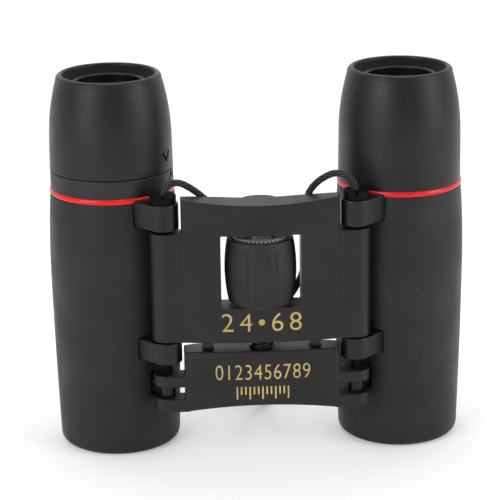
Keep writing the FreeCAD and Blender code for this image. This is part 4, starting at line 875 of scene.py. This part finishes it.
def glyph(letter):
    """Points and faces of one figure of the font, in units of its height, wall from 0 to 1."""
    curve = bpy.data.curves.new("glyph", "FONT")
    curve.body = letter
    curve.extrude = 0.5
    curve.offset = THINNING
    curve.resolution_u = 4
    carrier = bpy.data.objects.new("glyph", curve)
    mesh = bpy.data.meshes.new_from_object(carrier)
    shell = bmesh.new()
    shell.from_mesh(mesh)
    bmesh.ops.remove_doubles(shell, verts=shell.verts, dist=1e-5)
    shell.to_mesh(mesh)
    shell.free()
    points = mesh_points(mesh)
    faces = [tuple(face.vertices) for face in mesh.polygons]
    bpy.data.objects.remove(carrier)
    bpy.data.meshes.remove(mesh)
    bpy.data.curves.remove(curve)
    points[:, 0] -= (points[:, 0].min() + points[:, 0].max()) / 2
    return points / (DIGIT_HEIGHT, DIGIT_HEIGHT, 1.0) + (0.0, 0.0, 0.5), faces


def figure_row(name, letters, centres, foot, height, width, face, body):
    """A row of figures on a crowned face: across at their centres, up from the foot."""
    points, faces, count = [], [], 0
    for letter, centre in zip(letters, centres):
        outline, outline_faces = glyph(letter)
        x = centre + outline[:, 0] * height * width
        z = foot + outline[:, 1] * height
        y = face(x) + FOIL_SINK - outline[:, 2] * (FOIL_SINK + FOIL_RISE)
        points.append(np.stack([x, y, z], 1))
        faces += [tuple(index + count for index in corner) for corner in outline_faces]
        count += len(outline)
    dress(new_piece(name, np.concatenate(points), faces), "gold_print", body)


bridge_face = crown_face("bridge_plate", PLATE_HALF_WIDTH, 1.5 * MM)
yoke_face = crown_face("yoke_plate", PLATE_HALF_WIDTH, 1.0 * MM)
figure_row("bridge_figures", "24\u202268", np.array([-8.2, -3.85, -0.05, 3.7, 8.05]) * MM,
           33.75 * MM, 4.6 * MM, 1.0, bridge_face, "bridge")
figure_row("yoke_figures", "0123456789", np.linspace(-10.4, 10.6, 10) * MM,
           21.3 * MM, 3.85 * MM, 0.78, yoke_face, "focus_yoke")
print("figures laid on the bridge and the yoke")

# %% [markdown]
# ## Scale of strokes
# Under the yoke's figures stands a row of plain strokes, every third one taller. An array modifier
# could repeat one stroke, but not change its height or follow the crowned face. So the eight
# corners of a block are worked out for all the strokes at once.

# %% Scale of strokes under the figures
def stroke_scale(name, centre, foot, count, spacing, width, tall, short, face, body):
    """Thin raised blocks of eight corners each, every third one tall."""
    k = np.arange(count)
    middle_x = centre + (k - (count - 1) / 2) * spacing
    height = np.where(k % 3 == 0, tall, short)
    corner = np.array([(a, b, c) for a in (-0.5, 0.5) for b in (0, 1) for c in (0, 1)])
    x = middle_x[:, None] + corner[None, :, 0] * width
    z = foot + (tall - height)[:, None] + corner[None, :, 2] * height[:, None]
    y = face(x) + FOIL_SINK - corner[None, :, 1] * (FOIL_SINK + FOIL_RISE)
    sides = np.array([(0, 1, 3, 2), (4, 6, 7, 5), (0, 4, 5, 1), (2, 3, 7, 6), (0, 2, 6, 4),
                      (1, 5, 7, 3)])[:, ::-1]
    faces = (8 * k[:, None, None] + sides[None, :, :]).reshape(-1, 4)
    strokes = new_piece(name, np.stack([x, y, z], -1).reshape(-1, 3), faces.tolist())
    dress(strokes, "gold_print", body)


stroke_scale("yoke_scale", 0.0, 16.3 * MM, 13, 1.03 * MM, 0.36 * MM, 3.2 * MM, 2.0 * MM,
             yoke_face, "focus_yoke")
print("scale laid on the yoke")

# %% [markdown]
# ## Index marks of the diopter
# The turning cup has an open V cut in its skirt, and the fixed collar under it has the same mark
# upside down: the user turns the cup and reads one against the other. Each is a narrow black
# ribbon bent round the barrel, its black standing for the shade in the cut: painted shade.
# Cutting the cup would need more faces than the mark is worth. A ribbon is a tube whose ring has
# only four corners, so the helper that closed the cord makes it too.

# %% Index marks
def outer_radius(node_name, axis, heights, skin=0.6 * MM):
    """Outer radius of a turned part at the given heights, from its mesh's outermost points."""
    points = mesh_points(bpy.data.objects[node_name].data)
    reach = np.hypot(points[:, 0] - axis[0], points[:, 1] - axis[1])
    outside = reach > reach.max() - skin
    order = np.argsort(points[outside, 2])
    return np.interp(heights, points[outside, 2][order], reach[outside][order])


def ribbon_grid(node_name, axis, degrees, heights, half_width=0.36 * MM, sink=0.05 * MM,
                rise=0.03 * MM, stations=24):
    """Four-cornered rings along a bent line of (angle, height): the corners lie half a width to
    each side of it, one pair under the surface and one pair just over it."""
    share = np.linspace(0, len(degrees) - 1, stations * (len(degrees) - 1) + 1)
    angle = np.radians(np.interp(share, np.arange(len(degrees)), degrees))
    z = np.interp(share, np.arange(len(heights)), np.array(heights) * MM)
    radius = outer_radius(node_name, axis, z)
    along = np.stack([np.gradient(angle * radius), np.gradient(z)], 1)
    along /= np.linalg.norm(along, axis=1)[:, None]
    rings = []
    for side, out in ((-1, rise), (-1, -sink), (1, -sink), (1, rise)):
        a = angle - side * half_width * along[:, 1] / radius
        rings.append(np.stack([axis[0] + (radius + out) * np.cos(a),
                               axis[1] + (radius + out) * np.sin(a),
                               z + side * half_width * along[:, 0]], -1))
    return np.stack(rings, 1)


left_axis = upright_axis("left_diopter_collar")
for name, part, body, degrees, heights in (
        ("cup_index", "left_eyecup", "diopter_cup", (-32.2, -26.1, -20.2), (74.8, 72.7, 74.8)),
        ("collar_index", "left_diopter_collar", "left_barrel", (-21, -15, -9), (67.3, 69.3, 67.3))):
    cut_shade = closed_tube(name, ribbon_grid(part, left_axis, degrees, heights))
    # The black plastic finish on each ribbon is painted shade for the cut V.
    dress(cut_shade, "cage_plastic", body)
print("index marks laid round the barrel at", [round(v, 4) for v in left_axis])

# %% [markdown]
# ## Dress the frame
# Each part of the frame names the material slot it was made for. The finishes could be given out
# part by part, but a walk through the record does the same and can't leave one out.

# %% Give out the finishes
for part in frame["record"]["subparts"]:
    for place in bpy.data.objects[part["node"]].material_slots:
        place.material = finishes[part["material_slot"]]

# %% [markdown]
# ## The floor's paper
# The floor is a sweep of pale matt paper with a faint unevenness. In a studio it is lit from so
# many sides that its shadows come out pale. Stronger lamps would do that too, but would lighten
# the object with it, so a share of plain white is mixed in that only the camera sees.

# %% Paper
GLOW = 0.28      # share of plain white that the camera sees
paper, tree, shader = new_material("paper")
marks = place_group(tree, handling, Patch_Scale=3.0)
set_sockets(tree, shader, {
    "Base Color": mix(tree, marks["Patches"], (0.93, 0.93, 0.93, 1), (0.95, 0.95, 0.95, 1)),
    "Roughness": 0.9, "Specular IOR Level": 0.1})
white = node(tree, "ShaderNodeEmission", {"Color": (1, 1, 1, 1), "Strength": 1.0})
eye_only = node(tree, "ShaderNodeLightPath").outputs["Is Camera Ray"]
both = node(tree, "ShaderNodeMixShader", {0: times(tree, eye_only, GLOW),
                                          1: shader.outputs[0], 2: white.outputs[0]})
set_sockets(tree, tree.nodes["Material Output"], {"Surface": both.outputs[0]})
floor.data.materials.append(paper)
print("floor papered")
